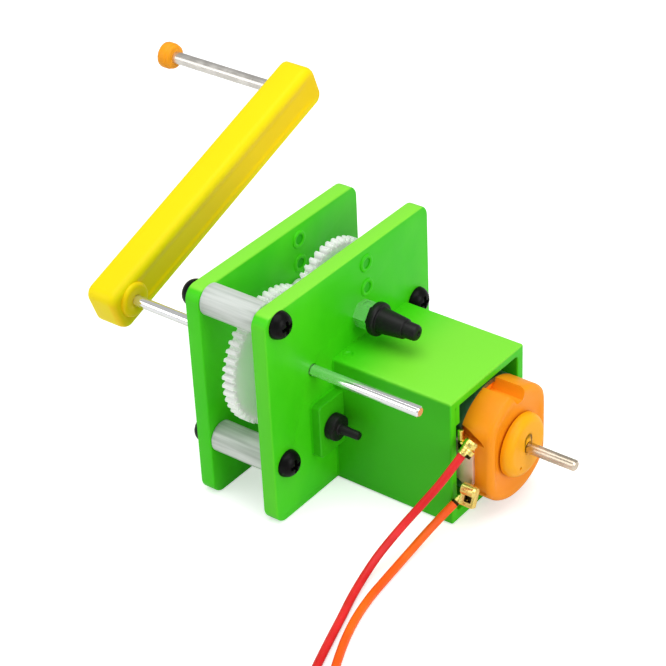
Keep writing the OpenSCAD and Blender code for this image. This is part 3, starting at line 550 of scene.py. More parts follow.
def soft_slab(bm, x0, x1, low, high, radius, edge, steps=4):
    """A slab whose two rims are rounded."""
    bends = quarter(steps)
    rings = [drawn_in(x0 + edge * out, low, high, radius, edge * left) for out, left in bends]
    rings += [drawn_in(x1 - edge * out, low, high, radius, edge * left) for out, left in bends[::-1]]
    skin(bm, rings)


def turned(bm, profile, at=(0, 0), count=64):
    """A form turned about a shaft at Y, Z. The profile lists places along X with their radii."""
    rings = []
    for x, radius in profile:
        ring = []
        for k in range(count):
            angle = math.tau * k / count
            ring.append(Vector((x, at[0] + radius * math.cos(angle), at[1] + radius * math.sin(angle))))
        rings.append(ring)
    skin(bm, rings, start_cap=profile[0][1] > 0, end_cap=profile[-1][1] > 0)


def rounding(x, radius, edge, steps):
    """Profile places of a rounded rim that ends at x."""
    return [(x - edge * out, radius - edge * left) for out, left in quarter(steps)[::-1]]


print("Ring helpers are ready")


# %% Finish a piece
def creased(mesh, crease):
    """Shades a mesh smooth, but for the edges that bend more than crease."""
    mesh.shade_smooth()
    mesh.set_sharp_from_angle(angle=math.radians(crease))


def shown_mesh(piece):
    """What a piece shows with its modifiers, as a mesh."""
    bpy.context.view_layer.update()
    return bpy.data.meshes.new_from_object(piece.evaluated_get(bpy.context.evaluated_depsgraph_get()))


def as_object(name, bm, surface, crease=38):
    """An object in metres from forms in millimetres, smooth but for its creases.

    Poles and seams are closed and the faces turned outwards on the way.
    """
    bmesh.ops.remove_doubles(bm, verts=bm.verts, dist=1e-4)
    bmesh.ops.recalc_face_normals(bm, faces=bm.faces)
    bmesh.ops.scale(bm, vec=(MM, MM, MM), verts=bm.verts)
    mesh = bpy.data.meshes.new(name)
    bm.to_mesh(mesh)
    bm.free()
    mesh.materials.append(surface)
    creased(mesh, crease)
    return added(name, mesh)


def turned_object(name, profile, surface, at=(0, 0), count=48, crease=38, moved=Matrix()):
    """A turned form as an object of its own, which a matrix may move."""
    bm = bmesh.new()
    turned(bm, profile, at, count)
    bm.transform(moved)
    return as_object(name, bm, surface, crease)


def skin_object(name, rings, surface, crease=38, moved=Matrix()):
    """A closed skin as an object of its own, which a matrix may move."""
    bm = bmesh.new()
    skin(bm, rings)
    bm.transform(moved)
    return as_object(name, bm, surface, crease)


def baked(piece, crease=38):
    """Turns what the modifiers show into the piece's own mesh."""
    mesh = shown_mesh(piece)
    piece.modifiers.clear()
    piece.data = mesh
    creased(mesh, crease)
    return piece


def carved(piece, cutter, operation="DIFFERENCE"):
    """Cuts a shape out of a piece, or joins it on, and throws the cutter away."""
    modifier = piece.modifiers.new("carve", "BOOLEAN")
    modifier.object, modifier.operation, modifier.solver = cutter, operation, "EXACT"
    baked(piece)
    bpy.data.objects.remove(cutter)


def finished(piece, body, node):
    """Gives a piece its body, and puts it in the place of the engineer's node."""
    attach(piece, body)
    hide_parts(node)
    print(piece.name, "has", len(piece.data.polygons), "faces")


# %% [markdown]
# ## Side plates
#
# A side plate is a flat shape with holes. Blender's flat curves are made for that: the outline and
# the holes are closed loops, Extrude gives the thickness, and Bevel gives every rim, the holes' too,
# the soft edge that a moulded plate has. Offset draws the loops in by the bevel, so the outline keeps
# its true size. The finished curve becomes a mesh and is stood up across the shafts.
# %% Plates from flat curves
PLATE_THICK, EDGE, SHAFT_HOLE = 3, 0.28, 1.04
SCREWS = [(-25.1, 39.5), (-25.1, 11.5), (13.3, 23.9)]
SECOND_AT, THIRD_AT, MOTOR_AT = (-2.8617, 29.8967), (-9.3447, 17.4882), (0, 12.7)


def circle_loop(at, radius, count=40):
    angles = [-math.tau * k / count for k in range(count)]
    return [(at[0] + radius * math.cos(angle), at[1] + radius * math.sin(angle), 0) for angle in angles]


def add_plate(bm, near, far, x0, holes):
    """Adds a soft-edged plate that stands across the shafts from x0, with holes for shafts."""
    outline = [(point.y, point.z, 0) for point in box_ring(0, (near, 0), (far, PLATE_TOP), 2.5, 10)]
    curve = bpy.data.curves.new("plate", "CURVE")
    curve.dimensions, curve.fill_mode = "2D", "BOTH"
    curve.extrude, curve.offset = PLATE_THICK / 2 - EDGE, -EDGE
    curve.bevel_depth, curve.bevel_resolution = EDGE, 3
    for places in (outline, *(circle_loop(hole, SHAFT_HOLE) for hole in holes)):
        add_line(curve, places, loop=True)
    flat = added("plate", curve)
    mesh = shown_mesh(flat)
    bpy.data.objects.remove(flat)
    mesh.transform(Matrix(((0, 0, 1, x0 + PLATE_THICK / 2), (1, 0, 0, 0), (0, 1, 0, 0), (0, 0, 0, 1))))
    bm.from_mesh(mesh)
    bpy.data.meshes.remove(mesh)


back = bmesh.new()
add_plate(back, -28.0, 16.0, BACK_OUTER, [CRANK_AT, SECOND_AT])
print("Back plate:", len(back.faces), "faces")

# %% [markdown]
# Each plate carries two small moulded rings. A ring is a turned form: up its outer wall, over a rounded
# crest and down to the plate.
# %% Moulded rings
def add_ring(bm, x, at, proud=0.3, outer=1.7, inner=0.9):
    crest = (outer + inner) / 2
    profile = [(x - 0.5, outer), (x, outer), (x + proud * 0.7, outer - 0.08), (x + proud, crest + 0.1)]
    profile += [(x + proud, crest - 0.1), (x + proud * 0.6, inner + 0.05), (x, inner), (x - 0.5, inner)]
    turned(bm, [*profile, (x - 0.5, outer)], at, 40)


for ring in RINGS:
    add_ring(back, BACK_INNER, ring)
finished(as_object("back_side_plate", back, green), "frame", "back_plate")

# %% [markdown]
# ## Motor housing
#
# The front plate, the housing and the square pad are one moulding. The housing is a box with one
# open end, so its skin runs out along the outside, rounds over the rim, and returns along the inside
# down to the plate. Its outlines all have the same number of points, so one skin makes the lot.
# %% The housing and the pad
HOUSING_END, LIP = 24.5, 0.3


def add_housing(bm):
    outer = (HOUSING_LOW, HOUSING_HIGH, 0.6)
    inner = ((-9.8, 2.0), (8.7, 23.4), 0.6)
    rings = [drawn_in(-1.5, *outer, 0), drawn_in(HOUSING_END - EDGE, *outer, 0)]
    rings += [drawn_in(HOUSING_END - EDGE * left, *outer, EDGE * out) for out, left in quarter(4)[1:]]
    rings += [drawn_in(HOUSING_END - LIP * out, *inner, -LIP * left) for out, left in quarter(4)]
    rings += [drawn_in(0.02, *inner, 0), drawn_in(-1.4, *inner, 0.1)]
    skin(bm, rings)


front = bmesh.new()
add_plate(front, FRONT_NEAR, 17.3, FRONT_INNER, [CRANK_AT])
add_housing(front)
soft_slab(front, -1.5, 2.1, (-18.3, 8.8), (-10.2, 19.4), 0.8, EDGE)
soft_slab(front, 10, HOUSING_END, (-10.4, 19.8), (-8.75, 23.8), EDGE, EDGE)
for ring in RINGS:
    add_ring(front, FRONT_OUTER, ring)
print("Front plate with its housing:", len(front.faces), "faces")

# %% [markdown]
# Where pins pushed the moulding out of its mould, two shallow round dimples stay on the housing's
# top. The housing's foot meets the plate in a sharp inner corner, as in the photograph.
# %% Marks of the mould
front_piece = as_object("front_plate_and_housing", front, green)
MARK = [(24.95, 0), (24.95, 0.6), (25.3, 0.95), (25.5, 0.95), (25.5, 0)]
for x, y in ((1.5, -8.7), (1.7, 5.2)):
    upright = Matrix(((0, 0, 1, x), (0, 1, 0, y), (1, 0, 0, 0), (0, 0, 0, 1)))
    carved(front_piece, turned_object("mark", MARK, green, count=32, moved=upright))
finished(front_piece, "frame", "front_plate")

# %% [markdown]
# ## Screws
#
# Six equal screws clamp the plates to the spacers. One screw is modelled with care: a domed head and
# a tapered cross recess. Geometry Nodes then set a copy on each place, because a change to the one
# screw should reach all six. The tree ends in real geometry with its finish, and is baked to a mesh.
# %% One screw
def pan_screw():
    bends = [math.radians(9 * k) for k in range(1, 11)]
    dome = [(2.0 * math.sin(bend), 2.5 * (0.3 + 0.7 * math.cos(bend))) for bend in bends]
    shank = [(-8.3, 0), (-8.3, 0.9), (-7.9, 1.25), (0, 1.25), (0, 2.4), (0.06, 2.5)]
    screw = turned_object("screw", [*shank, *dome, (2.0, 0)], black_steel)
    wing = [
        box_ring(0.8, (-0.8, -0.24), (0.8, 0.24), 0.05, 2), box_ring(2.4, (-1.5, -0.42), (1.5, 0.42), 0.1, 2),
    ]
    for turn in (0, math.pi / 2):
        carved(screw, skin_object("wing", wing, black_steel, moved=Matrix.Rotation(turn, 4, "X")))
    return screw


screw = pan_screw()
print("One screw:", len(screw.data.polygons), "faces")


# %% A tree that sets one form on many places
def new_tree(name, inputs):
    """An empty Geometry Nodes tree, which also takes the inputs: names with their kinds of socket."""
    tree = bpy.data.node_groups.new(name, "GeometryNodeTree")
    for title, kind in {"Geometry": "Geometry", **inputs, "Finish": "Material"}.items():
        tree.interface.new_socket(title, in_out="INPUT", socket_type="NodeSocket" + kind)
    tree.interface.new_socket("Geometry", in_out="OUTPUT", socket_type="NodeSocketGeometry")
    return tree, *grown(tree, "NodeGroupInput", "NodeGroupOutput")


def grown(tree, *kinds):
    """New nodes of a tree, in the order of their kinds."""
    return [tree.nodes.new(kind) for kind in kinds]


def chain(tree, *links):
    """Links sockets: each link is a node, its output, a node and its input."""
    for source, output, target, socket in links:
        tree.links.new(source.outputs[output], target.inputs[socket])


def closed(tree, given, result, source, output):
    """Ends a tree: its instances become real geometry, which takes the finish."""
    real, finish = grown(tree, "GeometryNodeRealizeInstances", "GeometryNodeSetMaterial")
    chain(
        tree, (source, output, real, "Geometry"), (real, "Geometry", finish, "Geometry"),
        (given, "Finish", finish, "Material"), (finish, "Geometry", result, "Geometry"),
    )
    return tree


def set_on_places():
    tree, given, result = new_tree("Set on places", {"Form": "Object", "Turn": "Rotation"})
    form, put = grown(tree, "GeometryNodeObjectInfo", "GeometryNodeInstanceOnPoints")
    chain(
        tree, (given, "Form", form, "Object"), (given, "Geometry", put, "Points"),
        (form, "Geometry", put, "Instance"), (given, "Turn", put, "Rotation"),
    )
    return closed(tree, given, result, put, "Instances")


def with_tree(name, mesh, tree, inputs, crease=38):
    """Runs a tree on a mesh, sets its inputs by identifier, and bakes the result."""
    piece = added(name, mesh)
    modifier = piece.modifiers.new("nodes", "NODES")
    modifier.node_group = tree
    for item in tree.interface.items_tree:
        if item.item_type == "SOCKET" and item.in_out == "INPUT" and item.name in inputs:
            modifier[item.identifier] = inputs[item.name]
    return baked(piece, crease)


places_tree = set_on_places()


def on_screw_places(name, form, x, turn, surface, node):
    """Sets a form on the three screws' places at x."""
    places = bpy.data.meshes.new("places")
    places.from_pydata([Vector((x, y, z)) * MM for y, z in SCREWS], [], [])
    inputs = {"Form": form, "Turn": (0, 0, turn), "Finish": surface}
    finished(with_tree(name, places, places_tree, inputs), "frame", node)


on_screw_places("front_plate_screws", screw, FRONT_OUTER, 0, black_steel, "front_screws")
on_screw_places("back_plate_screws", screw, BACK_OUTER, math.pi, black_steel, "back_screws")
bpy.data.objects.remove(screw)

# %% [markdown]
# ## Spacers
#
# A spacer is a length of nylon tube, cut square. One tube with a small chamfer goes on the same
# three places as the screws, through the same tree.
# %% Nylon spacers
TUBE = [(0, 1.25), (0, 2.65), (0.2, 2.85), (11.3, 2.85), (11.5, 2.65), (11.5, 1.25), (0, 1.25)]
tube = turned_object("tube", TUBE, cloudy, count=64)
on_screw_places("nylon_spacers", tube, BACK_INNER, 0, cloudy, "spacers")
bpy.data.objects.remove(tube)

# %% [markdown]
# ## Gears
#
# A gear is one tooth repeated round a turned blank, so Geometry Nodes fit it well. The tooth's flanks
# are involutes, the curve that lets two gears roll on each other evenly: each flank place lies at the
# angle that the involute gives for its radius. The tree takes the blank, the tooth and their number.
# %% The tooth
MODULE, BACKLASH, PRESSURE = 0.5, 0.06, math.radians(20)
WHEEL, PINION = (0.6, 1.15), (0.95, 0.8)  # height above and depth below the pitch circle, in modules
CRANK_TEETH, SECOND_TEETH, THIRD_TEETH, PINION_TEETH = 48, 46, 32, 10


def involute(angle):
    return math.tan(angle) - angle


def tooth_half(teeth, base, radius):
    """Half the angle that a tooth takes at a radius, in radians."""
    at_pitch = math.pi / 2 / teeth - BACKLASH / (MODULE * teeth) + involute(PRESSURE)
    return at_pitch - involute(math.acos(min(1, base / radius)))


def gear_sizes(teeth, addendum, dedendum):
    """Radii of the base circle, the root and the tip."""
    pitch = MODULE * teeth / 2
    return pitch * math.cos(PRESSURE), pitch - dedendum * MODULE, pitch + addendum * MODULE


def tooth_form(teeth, kind, width, chamfer=0.07):
    """One tooth about the Y direction, from x 0 to width, with softened ends."""
    base, root, tip = gear_sizes(teeth, *kind)
    low = max(base, root)
    radii = [low + (tip - low) * k / 5 for k in range(6)]
    foot = tooth_half(teeth, base, low)
    side = [(root - 0.25, foot), (root, foot)]
    side += [(radius, tooth_half(teeth, base, radius)) for radius in radii]
    outline = [(radius, -angle) for radius, angle in side] + side[::-1]

    def ring(x, inset):
        points = []
        for radius, angle in outline:
            shorter = min(radius, tip - inset)
            narrower = angle - math.copysign(min(abs(angle), inset / radius), angle)
            points.append(Vector((x, shorter * math.cos(narrower), shorter * math.sin(narrower))))
        return points

    rings = [ring(0, chamfer), ring(chamfer, 0), ring(width - chamfer, 0), ring(width, chamfer)]
    return skin_object("tooth", rings, white)


print("Root and tip of the crank gear:", gear_sizes(CRANK_TEETH, *WHEEL)[1:])


# %% The gear tree
def teeth_round_blank():
    tree, given, result = new_tree("Teeth round a blank", {
        "Tooth": "Object", "Teeth": "Int", "First angle": "Float", "Gear centre": "Vector",
    })
    form, points, index, spin, put, move, join = grown(
        tree, "GeometryNodeObjectInfo", "GeometryNodePoints", "GeometryNodeInputIndex",
        "ShaderNodeCombineXYZ", "GeometryNodeInstanceOnPoints", "GeometryNodeTransform",
        "GeometryNodeJoinGeometry",
    )
    step, share, angle = grown(tree, *["ShaderNodeMath"] * 3)
    step.operation, share.operation, angle.operation = "DIVIDE", "MULTIPLY", "ADD"
    step.inputs[0].default_value = math.tau
    chain(
        tree, (given, "Tooth", form, "Object"), (given, "Teeth", points, "Count"),
        (given, "Teeth", step, 1), (index, "Index", share, 0), (step, "Value", share, 1),
        (share, "Value", angle, 0), (given, "First angle", angle, 1), (angle, "Value", spin, "X"),
        (points, "Points", put, "Points"), (form, "Geometry", put, "Instance"),
        (spin, "Vector", put, "Rotation"), (put, "Instances", move, "Geometry"),
        (given, "Gear centre", move, "Translation"), (given, "Geometry", join, "Geometry"),
        (move, "Geometry", join, "Geometry"),
    )
    return closed(tree, given, result, join, "Geometry")


teeth_tree = teeth_round_blank()


def toothed(name, mesh, at, x0, teeth, kind, width, first_degrees):
    """Adds the teeth to a blank's mesh. Both are baked to one."""
    tooth = tooth_form(teeth, kind, width)
    gear = with_tree(name, mesh, teeth_tree, {
        "Tooth": tooth, "Teeth": teeth, "First angle": math.radians(first_degrees),
        "Gear centre": Vector((x0, *at)) * MM, "Finish": white,
    }, crease=30)
    bpy.data.objects.remove(tooth)
    return gear


print("The gear tree has", len(teeth_tree.nodes), "nodes")

# %% [markdown]
# Each gear's first tooth stands where it meshes with its neighbour at rest. The line between two
# shafts gives the direction, and half a tooth is added so that a tooth meets a gap. The blanks are
# turned: a rim, a thinner web and a hub, which is how nylon gears are moulded.
# %% Where the teeth stand
def heading(a, b):
    return math.degrees(math.atan2(b[1] - a[1], b[0] - a[0]))


def meshed(first, teeth, way):
    """Where a pinion's first tooth stands, beside a wheel whose first tooth stands at first."""
    return way + 180 + 180 / PINION_TEETH + (way - first) * teeth / PINION_TEETH


SECOND_TURN, THIRD_TURN, BORE = 3, 5, 1.0
pinion_turns = [
    meshed(0, CRANK_TEETH, heading(CRANK_AT, SECOND_AT)),
    meshed(SECOND_TURN, SECOND_TEETH, heading(SECOND_AT, THIRD_AT)),
    meshed(THIRD_TURN, THIRD_TEETH, heading(THIRD_AT, MOTOR_AT)),
]
print("Pinions start at", [round(turn % (360 / PINION_TEETH), 2) for turn in pinion_turns])


def blank(profile, at):
    """A turned blank as a mesh in metres."""
    form = turned_object("blank", profile, white, at, 96)
    mesh = form.data
    bpy.data.objects.remove(form)
    return mesh


def wheel_blank(x0, x1, teeth, web_side, hub, hub_x, near=None):
    """Profile of a bored wheel with a recessed web on one side and its hubs' ends at hub_x.

    Near is the profile's first stretch, where it isn't a plain hub.
    """
    root = gear_sizes(teeth, *WHEEL)[1]
    rim = root - 1.2
    near = near or [(hub_x[0], BORE), (hub_x[0], hub[0] - 0.2), (hub_x[0] + 0.2, hub[0])]
    far = [(hub_x[1] - 0.2, hub[1]), (hub_x[1], hub[1] - 0.2), (hub_x[1], BORE)]
    near_web, far_web = [(x0, hub[0])], [(x1, hub[1])]
    if web_side < 0:
        near_web = [(x0 + 0.5, hub[0]), (x0 + 0.5, rim - 0.2), (x0 + 0.3, rim), (x0, rim + 0.15)]
    else:
        far_web = [(x1, rim + 0.15), (x1 - 0.3, rim), (x1 - 0.5, rim - 0.2), (x1 - 0.5, hub[1])]
    edge = [(x0, root - 0.06), (x0 + 0.06, root), (x1 - 0.06, root), (x1, root - 0.06)]
    return [*near, *near_web, *edge, *far_web, *far, near[0]]


# %% The crank gear
crank_blank = blank(wheel_blank(-9.8, -7.5, CRANK_TEETH, -1, (2.75, 1.9), (-14.2, -3.3)), CRANK_AT)
crank_gear = toothed("crank_wheel", crank_blank, CRANK_AT, -9.8, CRANK_TEETH, WHEEL, 2.3, 0)
finished(crank_gear, "crank", "crank_gear")


# %% [markdown]
# The second and third gears are a wheel and a pinion moulded as one. The wheel's blank takes its
# teeth first, and its mesh is then the blank that takes the pinion's teeth.
# %% Gears with a pinion
def double_gear(name, node, body, at, profile, wheel, pinion):
    """Wheel lists its start in X, teeth, width and first angle, and pinion its start, width and angle."""
    x0, teeth, width, turn = wheel
    geared = toothed(name, blank(profile, at), at, x0, teeth, WHEEL, width, turn)
    mesh = geared.data
    bpy.data.objects.remove(geared)
    x0, width, turn = pinion
    geared = toothed(name, mesh, at, x0, PINION_TEETH, PINION, width, turn)
    finished(geared, body, node)


pinion_root = gear_sizes(PINION_TEETH, *PINION)[1]
second_hub = [(-14.2, BORE), (-14.2, 1.7), (-14.0, 1.9), (-9.8, 1.9), (-9.8, pinion_root)]
double_gear(
    "second_wheel", "second_gear", "second_stage", SECOND_AT,
    wheel_blank(-7.1, -5.4, SECOND_TEETH, 1, (pinion_root, 1.9), (-9.9, -3.3), second_hub),
    (-7.1, SECOND_TEETH, 1.7, SECOND_TURN), (-9.9, 3.0, pinion_turns[0]),
)
third_root = gear_sizes(THIRD_TEETH, *WHEEL)[1]
third_profile = [
    (-7.2, SHAFT_HOLE), (-7.2, pinion_root), (-5.0, pinion_root), (-5.0, third_root - 0.06),
    (-4.94, third_root), (-3.36, third_root), (-3.3, third_root - 0.06), (-3.3, SHAFT_HOLE),
    (-7.2, SHAFT_HOLE),
]
double_gear(
    "third_wheel", "third_gear", "third_stage", THIRD_AT, third_profile,
    (-5.0, THIRD_TEETH, 1.7, THIRD_TURN), (-7.2, 2.4, pinion_turns[1]),
)
motor_profile = [(-5.1, BORE), (-5.1, pinion_root), (-3.2, pinion_root), (-3.2, BORE), (-5.1, BORE)]
motor_pinion = toothed(
    "pinion_on_motor", blank(motor_profile, MOTOR_AT), MOTOR_AT, -5.1, PINION_TEETH, PINION, 1.9,
    pinion_turns[2],
)
finished(motor_pinion, "rotor", "motor_pinion")

# %% [markdown]
# ## The yellow arm
#
# The arm is a bar with a softly hollowed front face and a low round boss for the shaft. It is again a
# stack of rounded outlines: up the back rim, along the sides, over the front rim, and down into the
# hollow, whose walls are smooth S-curves. The rim is broad and soft at the top and narrow below, so each
# outline is drawn in by its own amounts. The form is built level and then turned to its angle at rest.
# %% A hollowed bar
ARM_TURN = Matrix.Translation((0, *CRANK_AT)) @ Matrix.Rotation(ARM_ANGLE, 4, "X")
ARM_BACK, ARM_TAIL, ARM_TIP, HOLLOW = -46.8, 4.7, 58.8, 0.4


def arm_ring(x, top, low, end, radius):
    """An outline of the arm, drawn in at its top, at its low side and at both ends."""
    return box_ring(x, (end - ARM_TAIL, low - ARM_HALF), (ARM_TIP - end, ARM_HALF - top), radius)


def arm_skin(bm):
    rings = []
    for out, left in quarter(5):
        inset = 0.9 * left
        rings.append(arm_ring(ARM_BACK + 0.9 * out, inset, inset, inset, 2.0 - inset))
    for out, left in quarter(7):
        rings.append(arm_ring(ARM_FACE - 1.5 * left, 1.5 * out, 0.6 * out, 0.8 * out, 2.0 - 0.6 * out))
    for k in range(1, 13):
        share = k / 12
        fall = share * share * (3 - 2 * share)
        low = 0.6 + 0.8 * min(1, share * 4) + 0.8 * share
        rings.append(arm_ring(ARM_FACE - HOLLOW * fall, 1.5 + 1.8 * share, low, 0.8 + 4.2 * share, 1.4))
    skin(bm, rings)


arm = bmesh.new()
arm_skin(arm)
ARM_BOSS = [(-43.5, 3.3), (ARM_FACE, 3.3), *rounding(-39.5, 3.3, 0.7, 6)]
turned(arm, [*ARM_BOSS, (-39.5, 1.2), (-39.7, 1.0), (-46.0, 1.0), (-46.0, 0)])
arm.transform(ARM_TURN)
finished(as_object("yellow_arm", arm, yellow, 50), "crank", "crank_arm")

# %% [markdown]
# ## The cap on the handle
#
# A small turned cap with a collar. Its rims are rounded, and a shallow dimple marks its flat end,
# where the plastic ran into the mould.
# %% Orange cap
HANDLE_AT = (54, 0)
CAP = [
    (-73.8, 0), (-73.8, 1.2), (-72.0, 1.2), (-72.0, 2.1), (-72.1, 2.3), (-72.3, 2.4), (-72.7, 2.4),
    (-72.8, 2.5), (-73.0, 2.6), (-74.3, 2.6), (-74.6, 2.5), (-74.75, 2.3), (-74.8, 2.0), (-74.8, 0.6),
    (-74.65, 0.4), (-74.65, 0),
]
cap = turned_object("orange_cap", CAP, peach, HANDLE_AT, 56, 42, ARM_TURN)
finished(cap, "crank", "handle_cap")

# %% [markdown]
# ## The nose and the locating post
#
# Both black parts are turned: a stepped nose over the end of the second axle, and a thin post with a
# disc, which stands in the pad. Small chamfers on every step catch a line of light.
# %% Black turned parts
NOSE = [
    (3.0, 1.0), (3.0, 2.75), (3.12, 2.95), (3.35, 3.05), (4.0, 3.05), (4.25, 2.98), (4.4, 2.8), (4.45, 2.42),
    (4.6, 2.3), (5.0, 2.28), (9.2, 1.84), (9.4, 1.8), (9.5, 1.66), (9.55, 1.52), (11.5, 1.46), (11.85, 1.3),
    (12.05, 0.95), (12.05, 0.5), (11.85, 0.35), (11.85, 0),
]
POST = [
    (-0.9, 0), (-0.9, 0.8), (2.1, 0.8), (2.1, 2.25), (2.25, 2.42), (3.5, 2.42), (3.8, 2.3), (3.9, 2.05),
    (3.9, 1.2), (4.05, 0.95), (5.6, 0.85), (5.7, 0.8), (7.6, 0.8), (7.9, 0.68), (8.0, 0.45), (8.0, 0),
]
for name, profile, at, count, body, node in (
    ("black_nose", NOSE, SECOND_AT, 56, "second_stage", "axle_nose"),
    ("post_in_pad", POST, (-14.95, 14.1), 48, "frame", "locating_post"),
):
    finished(turned_object(name, profile, black_plastic, at, count, 30), body, node)

# %% [markdown]
# ## The motor's orange end
#
# The end cap closes the round can, whose two sides are flat. Each of its outlines is a circle cut by
# two flats, and the cap's edge is drawn in along a quarter circle. A deep rounded groove crosses its
# top, a scooped notch in its near side clears the upper terminal, and a small slot the lower one.
# These are cut out of the skin, because they run across its outlines.
# %% End cap
def cut_round_ring(x, radius, flat, count=120, corner=24):
    """A circle with two flats. The higher corner is, the less the corners between them are softened."""
    ring = []
    for k in range(count):
        angle = math.tau * k / count
        across = abs(math.cos(angle))
        reach = ((1 / radius) ** corner + (across / flat) ** corner) ** (-1 / corner)
        ring.append(Vector((x, reach * math.cos(angle), MOTOR_AT[1] + reach * math.sin(angle))))
    return ring


CAP_FACE, CAP_EDGE, CAP_SIZE = 30.5, 1.1, (10.6, 8.6)
endcap_rings = [(22.5, 9.6, 7.6), (24.5, 9.6, 7.6), (24.5, 10.55, 8.55), (24.6, *CAP_SIZE)]
endcap_rings += [
    (CAP_FACE - CAP_EDGE * left, CAP_SIZE[0] - CAP_EDGE * out, CAP_SIZE[1] - CAP_EDGE * out)
    for out, left in quarter(6)
]
endcap_rings += [(30.48, 9.1, 7.3), (30.35, 8.3, 6.9), (30.15, 7.4, 6.6), (30.1, 6.6, 6.3)]
endcap = skin_object("motor_end_cap", [cut_round_ring(*ring) for ring in endcap_rings], orange, 45)


def box(bm, low, high, radius=0.15, steps=2):
    """Adds a box whose edges are rounded."""
    soft_slab(bm, low[0], high[0], low[1:], high[1:], radius, radius, steps)


def box_object(name, low, high, radius, surface, steps=2, moved=Matrix()):
    """A rounded box as an object of its own, which a matrix may move."""
    bm = bmesh.new()
    box(bm, low, high, radius, steps)
    bm.transform(moved)
    return as_object(name, bm, surface)


def prism(outline, *places):
    """A cutter: an outline, which a place turns to points in space, for each of its two ends."""
    return skin_object("prism", [[Vector(place(u, v)) for u, v in outline] for place in places], orange)


GROOVE = [
    (-3.2, 24.6), (-1.95, 23.3), (-1.5, 22.4), (-0.9, 21.5), (-0.3, 21.0),
    (0.5, 20.85), (1.2, 21.0), (1.6, 21.9), (2.1, 24.1), (2.3, 25.0),
]
POCKET = [(23.9, 16.1), (29.4, 16.4), (28.7, 17.2), (27.9, 17.7), (26.5, 18.6), (25.5, 19.1), (23.9, 19.6)]
carved(endcap, prism(GROOVE, lambda y, z: (24.0, y, z), lambda y, z: (31.5, y, z)))
carved(endcap, prism(
    POCKET, lambda x, z: (x, -9.4, z), lambda x, z: (x - (x - 25) * 0.12, -7.2, z + (17.8 - z) * 0.25),
))
carved(endcap, box_object("slot", (27.2, -9.4, 6.2), (29.4, -8.0, 7.2), 0.3, orange, 4))
finished(endcap, "frame", "motor_endcap")

# %% [markdown]
# The amber boss holds the front bearing. A shallow arched recess stands over the shaft, and a pin hole
# sits low on the near side.
# %% Amber boss
BOSS = [
    (28.0, 1.5), (28.0, 4.0), (30.5, 4.0), (30.5, 5.85), *rounding(32.4, 5.85, 1.5, 8),
    (32.4, 1.08), (31.4, 1.08), (31.4, 1.5), (28.0, 1.5),
]
PIN_HOLE = [(31.4, 0), (31.4, 0.3), (33.0, 0.3), (33.0, 0)]
boss = turned_object("amber_boss", BOSS, amber, MOTOR_AT, 72, 40)
carved(boss, box_object("arch", (31.95, -1.3, 11.4), (33.4, 1.3, 15.6), 1.25, orange, 4))
carved(boss, turned_object("pin_hole", PIN_HOLE, orange, moved=Matrix.Translation((0, -2.3, 9.6))))
finished(boss, "frame", "motor_boss")

# %% [markdown]
# ## Terminals
#
# The contact strip is plain sheet with a stepped foot. The upper terminal is a brass blade whose ears
# are rolled round the red wire in ribs. The lower one is a leaning face with a square window under a
# rolled top, and it holds the orange wire. Inside its window and its mouths the brass gets a painted shade.
# %% Contact strip
STRIP = [(19.5, 8.9), (24.3, 8.6), (25.4, 7.9), (27.3, 8.3), (27.3, 16.6), (19.5, 16.6)]
strip = skin_object("grey_strip", [[Vector((x, y, z)) for x, z in STRIP] for y in (-9.4, -8.6)], dull)
bevel = strip.modifiers.new("soft edges", "BEVEL")
bevel.width, bevel.segments, bevel.angle_limit = 0.12 * MM, 2, math.radians(40)
finished(baked(strip), "frame", "contact_strip")


# %% Terminals
def toward(start, direction):
    """Carries a form built along X to a start and a direction."""
    return Matrix.Translation(start) @ Vector(direction).to_track_quat("X", "Z").to_matrix().to_4x4()


red_start = STRIP_FOOT + Vector(RED_PATH[0])
red_back = (Vector(RED_PATH[0]) - Vector(RED_PATH[1])).normalized()
orange_start = STRIP_FOOT + Vector(ORANGE_PATH[0])
orange_back = (Vector(ORANGE_PATH[0]) - Vector(ORANGE_PATH[1])).normalized()
MOUTH = red_start + Vector((0.75, 0.1, -0.35))
LUG_TURN = Matrix.Translation((26.0, -12.2, 5.7)) @ Matrix.Rotation(math.radians(-25), 4, "X")
window_middle = LUG_TURN @ Vector((1.8, 0.95, 1.55))
# Painted shade: the brass darkens round its window, the red wire's mouth and the orange wire's entry.
brass = metal(
    "bright_brass", (0.88, 0.64, 0.13), (1.0, 0.83, 0.26), 0.18, 2.5, scratch=0.002, spread=0.08,
    painted_shade_at=(window_middle, MOUTH, orange_start),
)

upper = bmesh.new()
box(upper, (24.75, -10.0, 15.0), (25.75, -9.35, 19.3))
box(upper, (24.75, -10.0, 15.0), (27.3, -9.35, 17.4))
box(upper, (25.9, -11.0, 17.4), (27.4, -9.4, 17.9))
CRIMP = [
    (0, 0.78), (0, 0.92), (0.25, 1.0), (0.5, 0.92), (0.75, 1.05), (1.0, 0.98), (1.25, 1.14), (1.5, 1.06),
    (1.8, 1.24), (2.1, 1.18), (2.5, 1.3), (2.9, 1.05), (2.9, 0),
]
CORE = [(0, 0.78), (1.4, 0.78), (1.4, 0)]
EAR = [(0.9, 0), (0.9, 0.4), (0, 0.48), (0, 0.6), (1.4, 0.75), (1.4, 0)]
for start, profiles, count in ((red_start, (CRIMP, CORE), 40), (MOUTH, (EAR,), 32)):
    form = bmesh.new()
    for profile in profiles:
        turned(form, profile, count=count)
    form.transform(toward(start, red_back))
    mesh = bpy.data.meshes.new("crimp")
    form.to_mesh(mesh)
    upper.from_mesh(mesh)
    form.free()
finished(as_object("upper_brass_tab", upper, brass), "frame", "upper_terminal")

